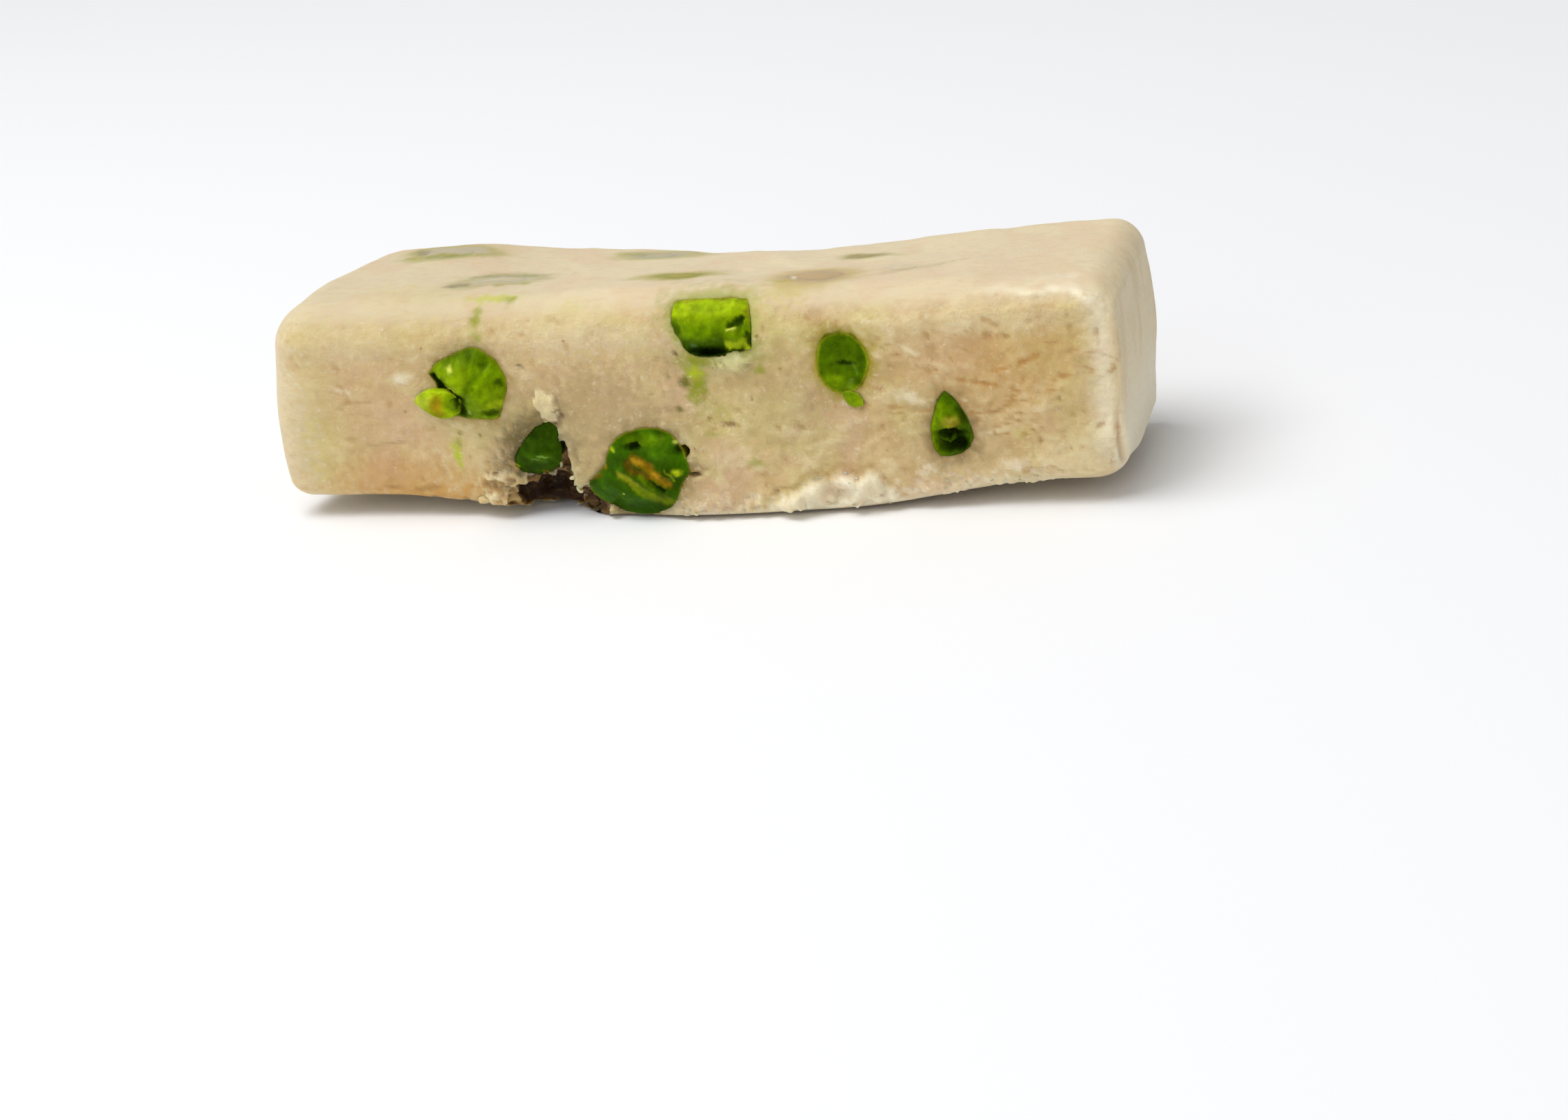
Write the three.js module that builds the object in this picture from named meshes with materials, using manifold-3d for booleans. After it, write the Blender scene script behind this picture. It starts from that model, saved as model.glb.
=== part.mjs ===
// A hand-cut nougat bar set with whole pistachio kernels, in millimetres, +Z up.
// X runs along the bar, the front cut face looks along -Y, and the origin is the middle of the base.
// The bar was cut from a slab: its front and back are knife-cut faces that broke round the kernels, its top and
// base are the slab's smooth skins, and its ends are plain cuts. The soft bar has sagged: it stands on its middle.
import * as THREE from "three";
import { ImprovedNoise } from "three/addons/math/ImprovedNoise.js";
import { mergeVertices } from "three/addons/utils/BufferGeometryUtils.js";
import Module from "manifold-3d";

const wasm = await Module();
wasm.setup();

// The bar
const LENGTH = 101.5;
const DEPTH = 27;
const HEIGHT = 26; // along the front edge, away from the crown
const GRID = 2.7; // spacing of the body's surface points

// Edges
const TOP_EDGE_RADIUS = 3.6;
const BASE_EDGE_RADIUS = 1.4;

// How the soft bar has deformed
const CROWN = 1.2; // the front edge rises this much at the middle
const CROWN_X = 2;
const BACK_RISE = 0.9; // the back edge stands higher than the front at the ends
const BACK_SAG = 3; // and sags this much past the middle
const BACK_SAG_X = 6;
const END_LIFT = 2; // the base's ends stand clear of the table
const LIFT_FROM = 15; // where the lift begins, on each side of the crown
const LIFT_TO = 40; // and where it is complete
const FOOT = { length: 30, width: 18, rise: 0.15 }; // the flat that the soft bar has pressed to stand on
const BELLY = 2.9; // the foot of the front face bulges forward
const LEFT_SLANT = 8.2; // the left end was cut askew: its back corner is this much short
const LEFT_LEAN = 2.2; // and its foot runs out to the left
const RIGHT_BULGE = 1.1; // the right end is pushed out at mid-height, most at the back
const LUMP = 0.28; // hand-pressed unevenness
const LUMP_SIZE = 9;

// Kernels
const AROUND = 12; // facets round a kernel
const ALONG = 8; // rings from tip to tip
const SEAM = 0.93; // how far a kernel's seam is drawn in
const POCKET_GAP = 0.3; // between a kernel and the nougat round it

const nougat = new THREE.MeshStandardMaterial({ color: 0xd6c4a0, roughness: 0.62, metalness: 0 });
const flesh = new THREE.MeshStandardMaterial({ color: 0x5f8a10, roughness: 0.38, metalness: 0 });
const skin = new THREE.MeshStandardMaterial({ color: 0xa89a80, roughness: 0.5, metalness: 0 });

const X = new THREE.Vector3(1, 0, 0);
const Y = new THREE.Vector3(0, 1, 0);
const Z = new THREE.Vector3(0, 0, 1);

const clamp01 = (v) => Math.min(1, Math.max(0, v));
const lerp = (a, b, t) => a + (b - a) * t;
const bell = (v, centre, width) => Math.exp(-(((v - centre) / width) ** 2));
const smooth = (v, from, to) => {
  const t = clamp01((v - from) / (to - from));
  return t * t * (3 - 2 * t);
};

// A closed geometry as a manifold-3d solid.
function solidOf(geometry) {
  const bare = geometry.clone().deleteAttribute("normal").deleteAttribute("uv");
  const merged = mergeVertices(bare, 1e-4);
  const vertProperties = merged.attributes.position.array;
  const triVerts = new Uint32Array(merged.index.array);
  return new wasm.Manifold(new wasm.Mesh({ numProp: 3, vertProperties, triVerts }));
}

// A manifold-3d solid as a named mesh.
function meshOf(solid, name, material) {
  const { vertProperties, triVerts } = solid.getMesh();
  const geometry = new THREE.BufferGeometry();
  geometry.setAttribute("position", new THREE.BufferAttribute(new Float32Array(vertProperties), 3));
  geometry.setIndex(new THREE.BufferAttribute(new Uint32Array(triVerts), 1));
  geometry.computeVertexNormals();
  const mesh = new THREE.Mesh(geometry, material);
  mesh.name = name;
  return mesh;
}

// Runs a function over every point of a geometry.
function reshape(geometry, move) {
  const position = geometry.attributes.position;
  const point = new THREE.Vector3();
  for (let i = 0; i < position.count; i++) {
    point.fromBufferAttribute(position, i);
    move(point);
    position.setXYZ(i, point.x, point.y, point.z);
  }
  return geometry;
}

// Rounds the plain block's edges. The block's base is at z 0.
function roundEdges(p) {
  const rightFoot = smooth(p.x, 20, 48) * smooth(-p.y, 0, 12);
  const foot = BASE_EDGE_RADIUS + 2.4 * rightFoot;
  const leftBack = smooth(-p.x, 20, 48) * smooth(p.y, -5, 12);
  const radius = lerp(foot, TOP_EDGE_RADIUS, smooth(p.z, 0.15 * HEIGHT, 0.7 * HEIGHT)) + 2.5 * leftBack;
  const low = new THREE.Vector3(-LENGTH / 2 + radius, -DEPTH / 2 + radius, radius);
  const high = new THREE.Vector3(LENGTH / 2 - radius, DEPTH / 2 - radius, HEIGHT - radius);
  const inner = p.clone().clamp(low, high);
  const out = p.clone().sub(inner);
  if (out.lengthSq() > 0) p.copy(inner).addScaledVector(out.normalize(), radius);
}

// Bends the rounded block into the sagged bar.
function sag(p) {
  const height = clamp01(p.z / HEIGHT);
  const back = clamp01((p.y + DEPTH / 2) / DEPTH);
  const front = HEIGHT + CROWN * bell(p.x, CROWN_X, 18) + 0.5 * bell(p.x, 34, 10);
  const rear = HEIGHT + BACK_RISE + 0.4 * bell(p.x, -34, 16) - BACK_SAG * bell(p.x, BACK_SAG_X, 26) - 0.5 * bell(p.x, -22, 7);
  const fromMiddle = Math.abs(p.x - CROWN_X);
  const standing = height < 0.01 && fromMiddle < FOOT.length / 2 && Math.abs(p.y) < FOOT.width / 2;
  const base = standing ? 0 : FOOT.rise + END_LIFT * smooth(fromMiddle, LIFT_FROM, LIFT_TO);
  if (!standing) p.y -= BELLY * bell(p.x, 0, 20) * (1 - back) * (1 - height) ** 1.3;
  const end = Math.abs(p.x) / (LENGTH / 2);
  if (p.x < 0) p.x += end ** 3 * (LEFT_SLANT * back ** 1.5 - LEFT_LEAN * bell(height, 0.25, 0.6));
  else p.x += end ** 8 * RIGHT_BULGE * lerp(0.3, 1, back) * bell(height, 0.56, 0.32);
  p.z = lerp(base, lerp(front, rear, back), height);
}

// Hand-pressed unevenness, which leaves the base flat where the bar stands.
function lump(p) {
  const noise = new ImprovedNoise();
  const [x, y, z] = [p.x, p.y, p.z].map((v) => v / LUMP_SIZE + 7.3);
  const firm = smooth(p.z, 0.5, 4);
  p.x += LUMP * firm * noise.noise(x, y, z);
  p.y += LUMP * firm * 1.5 * noise.noise(y + 31, z, x);
  p.z += LUMP * firm * noise.noise(z + 53, x, y);
}

function barSolid() {
  const steps = [LENGTH, DEPTH, HEIGHT].map((side) => Math.round(side / GRID));
  const block = new THREE.BoxGeometry(LENGTH, DEPTH, HEIGHT, ...steps);
  block.translate(0, 0, HEIGHT / 2);
  reshape(block, (p) => {
    roundEdges(p);
    sag(p);
    lump(p);
  });
  return solidOf(block);
}

// A face of the bar: which way it looks, and which way its kernels lie before they are turned.
const faces = {
  front: { out: Y.clone().negate(), along: X },
  back: { out: Y, along: X.clone().negate() },
  top: { out: Z, along: X },
  base: { out: Z.clone().negate(), along: X },
  left: { out: new THREE.Vector3(-1, 0.32, 0.1).normalize(), along: Z },
  rim: { out: new THREE.Vector3(0, -0.92, 0.39).normalize(), along: X },
};

// The placing of a piece whose own X lies along the face and whose own Z points out of it.
function placing({ face, at, turn = 0 }) {
  const { out, along } = faces[face];
  const x = along.clone().addScaledVector(out, -along.dot(out)).normalize();
  x.applyAxisAngle(out, THREE.MathUtils.degToRad(turn));
  const matrix = new THREE.Matrix4().makeBasis(x, out.clone().cross(x), out);
  return matrix.setPosition(...at);
}

// A kernel, grown by a gap for its pocket. Its poles are its tips. What stands above its waist is pressed to a bowed
// cut: cap above the waist at the middle, lower by bow at the rim, with a dent if it is hollow. Then it is sunk.
function kernelGeometry(nut, gap) {
  const { half, sunk = 0, tip = 0.12, blunt = 1, cap = 1, bow = 0.6, dent } = nut;
  const sphere = new THREE.SphereGeometry(1, AROUND, ALONG).rotateZ(-Math.PI / 2);
  reshape(sphere, (p) => {
    const u = p.x;
    const girth = 1 - tip * u;
    const round = Math.hypot(p.y, p.z);
    const seam = Math.abs(p.z) < 0.1 * round ? SEAM : 1;
    const fat = round > 0 ? round ** blunt / round : 0;
    p.x = Math.sign(u) * Math.abs(u) ** blunt * (half[0] + gap);
    p.y *= fat * girth * seam * (half[1] + gap);
    p.z *= fat * girth * (half[2] + gap);
    if (!nut.flush && gap === 0) {
      const rim = Math.min(1, (p.x / half[0]) ** 2 + (p.y / half[1]) ** 2);
      let cut = cap - bow * rim;
      if (dent) cut -= dent.deep * bell(p.x, dent.at[0], dent.wide) * bell(p.y, dent.at[1], dent.wide);
      p.z = Math.min(p.z, cut);
    }
    p.z -= sunk;
  });
  return sphere.applyMatrix4(placing(nut));
}

// Lumps that were torn up out of a cut face, or left on it: an uneven ball, flattened onto the face.
function clodSolid({ face, at, half, turn = 0, seed, detail = 1 }) {
  const noise = new ImprovedNoise();
  const ball = new THREE.IcosahedronGeometry(1, detail);
  reshape(ball, (p) => {
    const rough = 1 + 0.45 * noise.noise(p.x * 1.7 + seed, p.y * 1.7, p.z * 1.7 + 5);
    p.set(p.x * half[0] * rough, p.y * half[1] * rough, p.z * half[2] * rough);
  });
  return solidOf(ball.applyMatrix4(placing({ face, at, turn })));
}

// Where the front face tore: a hollow between two kernels and the shreds round it.
const hollows = [
  { face: "front", at: [-15.6, -14.4, 3.6], half: [3.6, 3.2, 3.4], seed: 1, detail: 2 },
  { face: "front", at: [-18.6, -14.6, 1.6], half: [4.6, 1.9, 3.2], seed: 2, detail: 2 },
  { face: "rim", at: [4.6, -13.4, 19.2], half: [3, 0.9, 1.1], seed: 9 },
];
const clods = [
  { face: "front", at: [-24.4, -13.6, 3.9], half: [3.4, 2.3, 1.6], turn: 8, seed: 3, detail: 2 },
  { face: "front", at: [-17.8, -14.0, 13.6], half: [1.3, 1.9, 0.8], turn: -20, seed: 4 },
  { face: "front", at: [14, -14.3, 3.2], half: [5, 1.9, 1.3], turn: 8, seed: 5, detail: 2 },
  { face: "front", at: [20.8, -13.7, 3.3], half: [3.6, 1.5, 1], turn: -4, seed: 6 },
  { face: "back", at: [13.5, 13.2, 4.2], half: [4.6, 2.2, 1.0], turn: 12, seed: 7 },
];

// Kernels cut or torn open on the front and back faces, and at the left end
const openKernels = [
  { name: "front_domed_kernel", face: "front", at: [-26.3, -13.6, 17], half: [4.7, 4.8, 4.6], turn: 62,
    sunk: 0.8, cap: 2.6, bow: 2.3, tip: 0.06 },
  { name: "front_sunken_kernel", face: "front", at: [-19.3, -14.1, 8.3], half: [3.8, 3.2, 4.2], turn: 58,
    sunk: 1.7, cap: 1.7, bow: 1.4, tip: 0.14 },
  { name: "front_broken_kernel", face: "front", at: [-6.3, -15.2, 5.3], half: [6.8, 5, 4.6], turn: 14,
    sunk: 0.7, cap: 1.6, bow: 1.2, tip: -0.12, dent: { at: [0.6, 0.2], wide: 2.4, deep: 0.9 } },
  { name: "rim_barrel_kernel", face: "rim", at: [4.3, -13.2, 23.1], half: [4.5, 3.8, 3.9], turn: 0,
    sunk: 2.2, cap: 3.5, bow: 1, tip: 0.02, blunt: 0.55 },
  { name: "front_oval_kernel", face: "front", at: [19.1, -13.8, 17.9], half: [3.5, 3, 3.2], turn: 82,
    sunk: 0.4, cap: 0.6, bow: 0.2, tip: 0.1 },
  { name: "front_hollow_kernel", face: "front", at: [30.9, -13.7, 10.1], half: [4.2, 2.4, 3.4], turn: 97,
    sunk: 0.6, cap: 0.9, bow: 0.5, tip: 0.3, dent: { at: [-1.8, 0], wide: 1.5, deep: 1.7 } },
  { name: "back_split_kernel", face: "back", at: [-31, 13.4, 9.5], half: [6.4, 3.9, 4], turn: 24,
    sunk: 0.6, cap: 1.8, bow: 1.4 },
  { name: "back_round_kernel", face: "back", at: [-11, 13.4, 17.5], half: [4.2, 4, 4], turn: 70,
    sunk: 0.6, cap: 1.5, bow: 1.2, tip: 0.05 },
  { name: "back_long_kernel", face: "back", at: [5.5, 13.4, 8.4], half: [7.2, 3.6, 4.2], turn: -16,
    sunk: 0.5, cap: 0.7, bow: 0.3, tip: 0.16 },
  { name: "back_sunken_kernel", face: "back", at: [25, 13.4, 15.8], half: [5, 3.8, 4], turn: 40,
    sunk: 1.8, cap: 1.4, bow: 1 },
  { name: "back_hollow_kernel", face: "back", at: [39.5, 13.4, 8.6], half: [4.4, 3, 3.6], turn: 108,
    sunk: 0.5, cap: 0.8, bow: 0.4, tip: 0.2, dent: { at: [-1.2, 0], wide: 1.7, deep: 1.4 } },
  { name: "left_end_kernel", face: "left", at: [-49.6, 0.5, 12.4], half: [5.6, 3.8, 4], turn: 34,
    sunk: 0.4, cap: 0.8, bow: 0.4 },
];

// Skinned kernels lying flush in the slab's top and base
const flushKernels = [
  { name: "top_kernel_1", face: "top", at: [-33.8, 6.8, 26.4], half: [7, 3.1, 3.6], turn: 4 },
  { name: "top_kernel_2", face: "top", at: [-24.6, -3, 25.9], half: [7.5, 3.2, 3.8], turn: 14 },
  { name: "top_kernel_3", face: "top", at: [-7.4, 8, 25], half: [6.4, 2.4, 3.4], turn: 12 },
  { name: "top_kernel_4", face: "top", at: [-1.9, -3.9, 25.9], half: [5.2, 2, 2.8], turn: 10 },
  { name: "top_kernel_5", face: "top", at: [14.8, -6.2, 25.9], half: [6.1, 4.6, 3.6], turn: 6 },
  { name: "top_kernel_6", face: "top", at: [19, 3.6, 25.2], half: [4.4, 1.4, 2.4], turn: -12 },
  { name: "top_kernel_7", face: "top", at: [25, -3.8, 25.8], half: [4.4, 2.1, 3], turn: -6 },
  { name: "base_kernel_1", face: "base", at: [-27, 2.5, 1.2], half: [6.8, 3.9, 3.8], turn: 35 },
  { name: "base_kernel_2", face: "base", at: [8, 2.4, 0.2], half: [6.2, 3.4, 3.6], turn: -20 },
  { name: "base_kernel_3", face: "base", at: [36, 3, 2], half: [5.6, 3.2, 3.6], turn: 80 },
].map((nut) => ({ ...nut, flush: true, sunk: 0.62 * nut.half[2] }));

const bar = barSolid();
let body = bar;
for (const hollow of hollows) body = body.subtract(clodSolid(hollow));
for (const clod of clods) body = body.add(clodSolid(clod));
for (const nut of [...openKernels, ...flushKernels]) {
  body = body.subtract(solidOf(kernelGeometry(nut, POCKET_GAP)));
}

const piece = new THREE.Group();
piece.add(meshOf(body, "nougat", nougat));
for (const nut of openKernels) {
  piece.add(meshOf(solidOf(kernelGeometry(nut, 0)), nut.name, flesh));
}
for (const nut of flushKernels) {
  piece.add(meshOf(solidOf(kernelGeometry(nut, 0)).intersect(bar), nut.name, skin));
}

// The origin goes to the middle of the base.
const box = new THREE.Box3().setFromObject(piece);
const middle = box.getCenter(new THREE.Vector3());
piece.position.set(-middle.x, -middle.y, -box.min.z);

export default piece;
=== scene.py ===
"""A hand-cut nougat bar set with whole pistachio kernels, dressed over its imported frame.

Lengths are in millimetres until a mesh is placed, when they are turned to metres."""
import math
import random

import bmesh
import bpy
import numpy as np
from mathutils import Matrix, Vector, noise
from mathutils.kdtree import KDTree


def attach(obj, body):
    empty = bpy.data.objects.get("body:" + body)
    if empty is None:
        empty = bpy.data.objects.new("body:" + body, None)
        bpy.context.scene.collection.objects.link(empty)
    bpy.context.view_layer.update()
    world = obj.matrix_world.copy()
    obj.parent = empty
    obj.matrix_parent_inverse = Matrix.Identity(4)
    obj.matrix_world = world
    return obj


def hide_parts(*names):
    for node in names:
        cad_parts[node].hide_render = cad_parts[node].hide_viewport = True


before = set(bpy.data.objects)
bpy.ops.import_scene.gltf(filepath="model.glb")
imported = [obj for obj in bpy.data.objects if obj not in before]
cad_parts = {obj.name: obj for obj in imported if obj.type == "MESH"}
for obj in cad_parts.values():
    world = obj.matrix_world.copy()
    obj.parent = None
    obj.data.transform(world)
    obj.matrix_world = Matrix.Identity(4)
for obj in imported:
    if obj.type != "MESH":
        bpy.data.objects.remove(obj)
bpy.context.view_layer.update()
MM = 0.001

# The bar, as in the part's source
LENGTH, DEPTH, HEIGHT = 101.5, 27.0, 26.0
TOP_EDGE_RADIUS, BASE_EDGE_RADIUS = 3.6, 1.4
CROWN, CROWN_X = 1.2, 2.0
BACK_RISE, BACK_SAG, BACK_SAG_X = 0.9, 3.0, 6.0
END_LIFT, LIFT_FROM, LIFT_TO, FOOT_RISE = 2.0, 15.0, 40.0, 0.15
BELLY, LEFT_SLANT, LEFT_LEAN, RIGHT_BULGE = 2.9, 8.2, 2.2, 1.1
MIDDLE = np.array([-0.412, -0.757, 0.0])  # the middle of the base, which is the row's origin

# The visible bar alone
OVERHANG = 1.2  # how far the top of the left end stands out past its foot, besides
GRID, GRID_ACROSS = 0.32, 0.55  # spacing of the surface points along and up the bar, and across it
FITTED = 9.0  # how far round a kernel the bar's surface is fitted
TOUCHED, TOUCHED_DEEP = 13.0, 5.5  # how far round a kernel, and how deep, it changes the nougat
FLUSH_CUT = 0.785  # how wide a flush kernel's cut is, as a share of its width
POCKET_DEPTH = 2.6  # how far the nougat goes in behind a kernel's face
SNUG = 1.01  # how wide a kernel is in its pocket, whose width is 1
KERNEL_BELLY = 0.4  # the lower it is, the steeper a kernel's sides
FINE, MEDIUM, COARSE = 7, 6, 5  # how often a kernel is subdivided: at the front, elsewhere, flush or small

rng = random.Random(7)


# Numbers and shapes

def srgb(text):
    """An sRGB hex colour as linear red, green and blue."""
    parts = [int(text[i:i + 2], 16) / 255 for i in (1, 3, 5)]
    return np.array([c / 12.92 if c <= 0.04045 else ((c + 0.055) / 1.055) ** 2.4 for c in parts])


def clamp01(v):
    return np.clip(v, 0.0, 1.0)


def lerp(a, b, t):
    return a + (b - a) * t


def bell(v, centre, width):
    return np.exp(-((v - centre) / width) ** 2)


def smooth(v, start, end):
    t = clamp01((v - start) / (end - start))
    return t * t * (3 - 2 * t)


def cloud(points, size, octaves=2, seed=0.0, stretch=(1, 1, 1)):
    """Noise of about -0.7 to 0.7 at each point, with lumps of that size."""
    shift = np.array([seed * 3.1 + 11.3, seed * 7.7 + 5.1, seed * 1.9 - 8.7])
    q = points / (size * np.array(stretch)) + shift
    return np.array([noise.fractal(v, 0.9, 2.0, octaves, noise_basis="PERLIN_ORIGINAL") for v in q.tolist()])


def plain(text, count):
    return np.repeat(srgb(text)[None, :], count, axis=0)


def blend(a, b, amount):
    """Mixes b, which is an sRGB hex colour or one linear colour for each point, into a."""
    b = srgb(b) if isinstance(b, str) else b
    return lerp(a, b, np.asarray(amount)[:, None])


def turned(u, v, degrees):
    """Where (u, v) lies on axes turned by that much."""
    t = math.radians(degrees)
    return math.cos(t) * u + math.sin(t) * v, math.cos(t) * v - math.sin(t) * u


def near_line(u, v, line):
    """Distance of each point (u, v) from a line through a few points."""
    best = np.full(u.shape, 1e9)
    for (ax, ay), (bx, by) in zip(line, line[1:]):
        dx, dy = bx - ax, by - ay
        t = clamp01(((u - ax) * dx + (v - ay) * dy) / (dx * dx + dy * dy))
        best = np.minimum(best, np.hypot(u - ax - t * dx, v - ay - t * dy))
    return best


def rows_of(items, name):
    """What each item of a mesh holds under that name, as rows of three."""
    flat = np.empty(len(items) * 3)
    items.foreach_get(name, flat)
    return flat.reshape(-1, 3)


def points_of(mesh):
    return rows_of(mesh.vertices, "co")


def set_points(mesh, points):
    mesh.vertices.foreach_set("co", points.astype(np.float32).ravel())
    mesh.update()


def mesh_of(bm, name):
    mesh = bpy.data.meshes.new(name)
    bm.to_mesh(mesh)
    bm.free()
    return mesh


def new_object(name, data):
    made = bpy.data.objects.new(name, data)
    bpy.context.scene.collection.objects.link(made)
    return made


def paint(mesh, name, values):
    """Gives a mesh a colour attribute from one linear colour for each point, or one for all."""
    layer = mesh.color_attributes.new(name, "FLOAT_COLOR", "POINT")
    colours = np.ones((len(mesh.vertices), 4), dtype=np.float32)
    colours[:, :3] = clamp01(values)
    layer.data.foreach_set("color", colours.ravel())


def place(mesh, name, material, replaced=None):
    """Makes a finished mesh, in the row's frame in millimetres, a piece of the bar."""
    set_points(mesh, points_of(mesh) * MM)
    mesh.shade_smooth()
    mesh.materials.append(material)
    piece = new_object(name, mesh)
    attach(piece, "root")
    if replaced:
        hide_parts(replaced)


# Materials

def feed(tree, node, **inputs):
    """Gives inputs of a node values or links. They are called by name, or by i and their number."""
    for key, value in inputs.items():
        numbered = key[0] == "i" and key[1:].isdigit()
        socket = node.inputs[int(key[1:]) if numbered else key.replace("_", " ")]
        if isinstance(value, bpy.types.NodeSocket):
            tree.links.new(value, socket)
        else:
            socket.default_value = value


def add(tree, kind, settings=None, **inputs):
    """Adds a node with its settings and its inputs' values or links, and gives its outputs."""
    node = tree.nodes.new("ShaderNode" + kind)
    for key, value in (settings or {}).items():
        setattr(node, key, value)
    feed(tree, node, **inputs)
    return node.outputs


def new_material(name):
    """A material, its node tree and shader, the place in millimetres, and the painted tint."""
    material = bpy.data.materials.new(name)
    material.use_nodes = True
    tree = material.node_tree
    position = add(tree, "TexCoord")["Object"]
    mm = add(tree, "VectorMath", {"operation": "SCALE"}, i0=position, Scale=1 / MM)[0]
    tint = add(tree, "Attribute", {"attribute_name": "tint"})["Color"]
    return material, tree, tree.nodes["Principled BSDF"], mm, tint


def mottle(tree, where, size, detail, low, high, rough=0.5, most=1.0):
    """Noise with patches of that size in millimetres, stretched to 0 to most between low and high."""
    patches = add(tree, "TexNoise", Vector=where, Scale=1 / size, Detail=detail, Roughness=rough)[0]
    return add(tree, "MapRange", Value=patches, From_Min=low, From_Max=high, To_Max=most)[0]


SUGAR, HONEY, SPECK = "#f4ecd6", "#c39a5e", "#8c5a2c"
SKIN_SHADE, HEART_GLEAM = (0.62, 0.7, 0.5, 1), (1.5, 1.35, 1.3, 1)  # what a painted tint is multiplied by


def nougat_material(name):
    """Chewy honey nougat, whipped, pressed and cut: a cream painted by its own form, painted light and shade
    among its tints, with a fine fuzzy grain of sugar and air, a soft glow where light goes in, and only a
    dull sheen."""
    material, tree, shader, mm, colour = new_material(name)
    marks = add(tree, "Attribute", {"attribute_name": "marks"})["Color"]
    _, wet, smooth_skin = add(tree, "SeparateColor", Color=marks)
    rough_part = add(tree, "Math", {"operation": "SUBTRACT"}, i0=1.0, i1=smooth_skin)[0]
    # White crystals of sugar, drawn at 0.8 mm so that they show
    crystals = mottle(tree, mm, 0.8, 4.0, 0.58, 0.74, 0.65, 0.34)
    # Fibres and honey streaks that run along the bar
    along_bar = add(tree, "Mapping", Vector=mm, Scale=(0.3, 1.0, 1.0))[0]
    streaks = mottle(tree, along_bar, 0.7, 4.0, 0.5, 0.72, 0.6, 0.2)
    # Toasted specks
    specks = mottle(tree, mm, 1.3, 1.0, 0.76, 0.80, 0.5, 0.5)
    for pattern, text, part in (
            (crystals, SUGAR, rough_part), (streaks, HONEY, 1.0), (specks, SPECK, rough_part)):
        amount = add(tree, "Math", {"operation": "MULTIPLY"}, i0=pattern, i1=part)[0]
        over = (*srgb(text), 1)
        colour = add(tree, "Mix", {"data_type": "RGBA"}, i0=amount, i6=colour, i7=over)[2]

    grain = mottle(tree, mm, 0.35, 3.0, 0.3, 0.7)
    lumps = mottle(tree, mm, 1.1, 4.0, 0.3, 0.7)
    height = add(tree, "Math", {"operation": "MULTIPLY_ADD"}, i0=lumps, i1=2.0, i2=grain)[0]
    strength = add(tree, "MapRange", Value=smooth_skin, To_Min=0.6, To_Max=0.2)[0]
    bump = add(tree, "Bump", Strength=strength, Distance=0.09 * MM, Height=height)[0]
    dull = add(tree, "MapRange", Value=lumps, To_Min=0.48, To_Max=0.68)[0]
    gloss = add(tree, "Math", {"operation": "MULTIPLY_ADD"}, i0=wet, i1=-0.22, i2=dull)[0]
    feed(tree, shader, Base_Color=colour, Normal=bump, Roughness=gloss, Subsurface_Weight=0.5,
         Subsurface_Radius=(1.0, 0.6, 0.3), Subsurface_Scale=2 * MM, Specular_IOR_Level=0.2)
    return material


def kernel_material(name):
    """Pistachio kernel: painted greens from the dark skin side to the yellow heart, broken up by a fine
    grain, with the clear moist highlight that the oil in it gives."""
    material, tree, shader, mm, tone = new_material(name)
    multiply = {"data_type": "RGBA", "blend_type": "MULTIPLY"}
    darker = mottle(tree, mm, 0.9, 4.0, 0.45, 0.72, 0.6)
    colour = add(tree, "Mix", multiply, i0=darker, i6=tone, i7=SKIN_SHADE)[2]
    lighter = mottle(tree, mm, 0.45, 3.0, 0.58, 0.72, 0.5, 0.5)
    gleam = add(tree, "Mix", multiply, i0=1.0, i6=tone, i7=HEART_GLEAM)[2]
    colour = add(tree, "Mix", {"data_type": "RGBA"}, i0=lighter, i6=colour, i7=gleam)[2]
    grain = mottle(tree, mm, 0.5, 4.0, 0.3, 0.7, 0.6)
    bump = add(tree, "Bump", Strength=0.6, Distance=0.07 * MM, Height=grain)[0]
    feed(tree, shader, Base_Color=colour, Normal=bump, Roughness=0.3, Subsurface_Weight=0.15,
         Subsurface_Radius=(0.7, 1.0, 0.1), Subsurface_Scale=1.2 * MM, Specular_IOR_Level=0.07,
         Specular_Tint=(0.9, 1.0, 0.12, 1.0))
    return material


nougat = nougat_material("honey_nougat")
flesh = kernel_material("pistachio_flesh")
veiled = nougat_material("pistachio_under_nougat_film")


# The bar's form

def grid_block(size, steps):
    """A block of even quads."""
    bm = bmesh.new()
    bmesh.ops.create_cube(bm, size=1.0)
    for axis in range(3):
        edges = [e for e in bm.edges if abs(e.verts[0].co[axis] - e.verts[1].co[axis]) > 0.5]
        cuts = round(size[axis] / steps[axis]) - 1
        bmesh.ops.subdivide_edges(bm, edges=edges, cuts=cuts, use_grid_fill=True)
    return mesh_of(bm, "nougat_bar")


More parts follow.
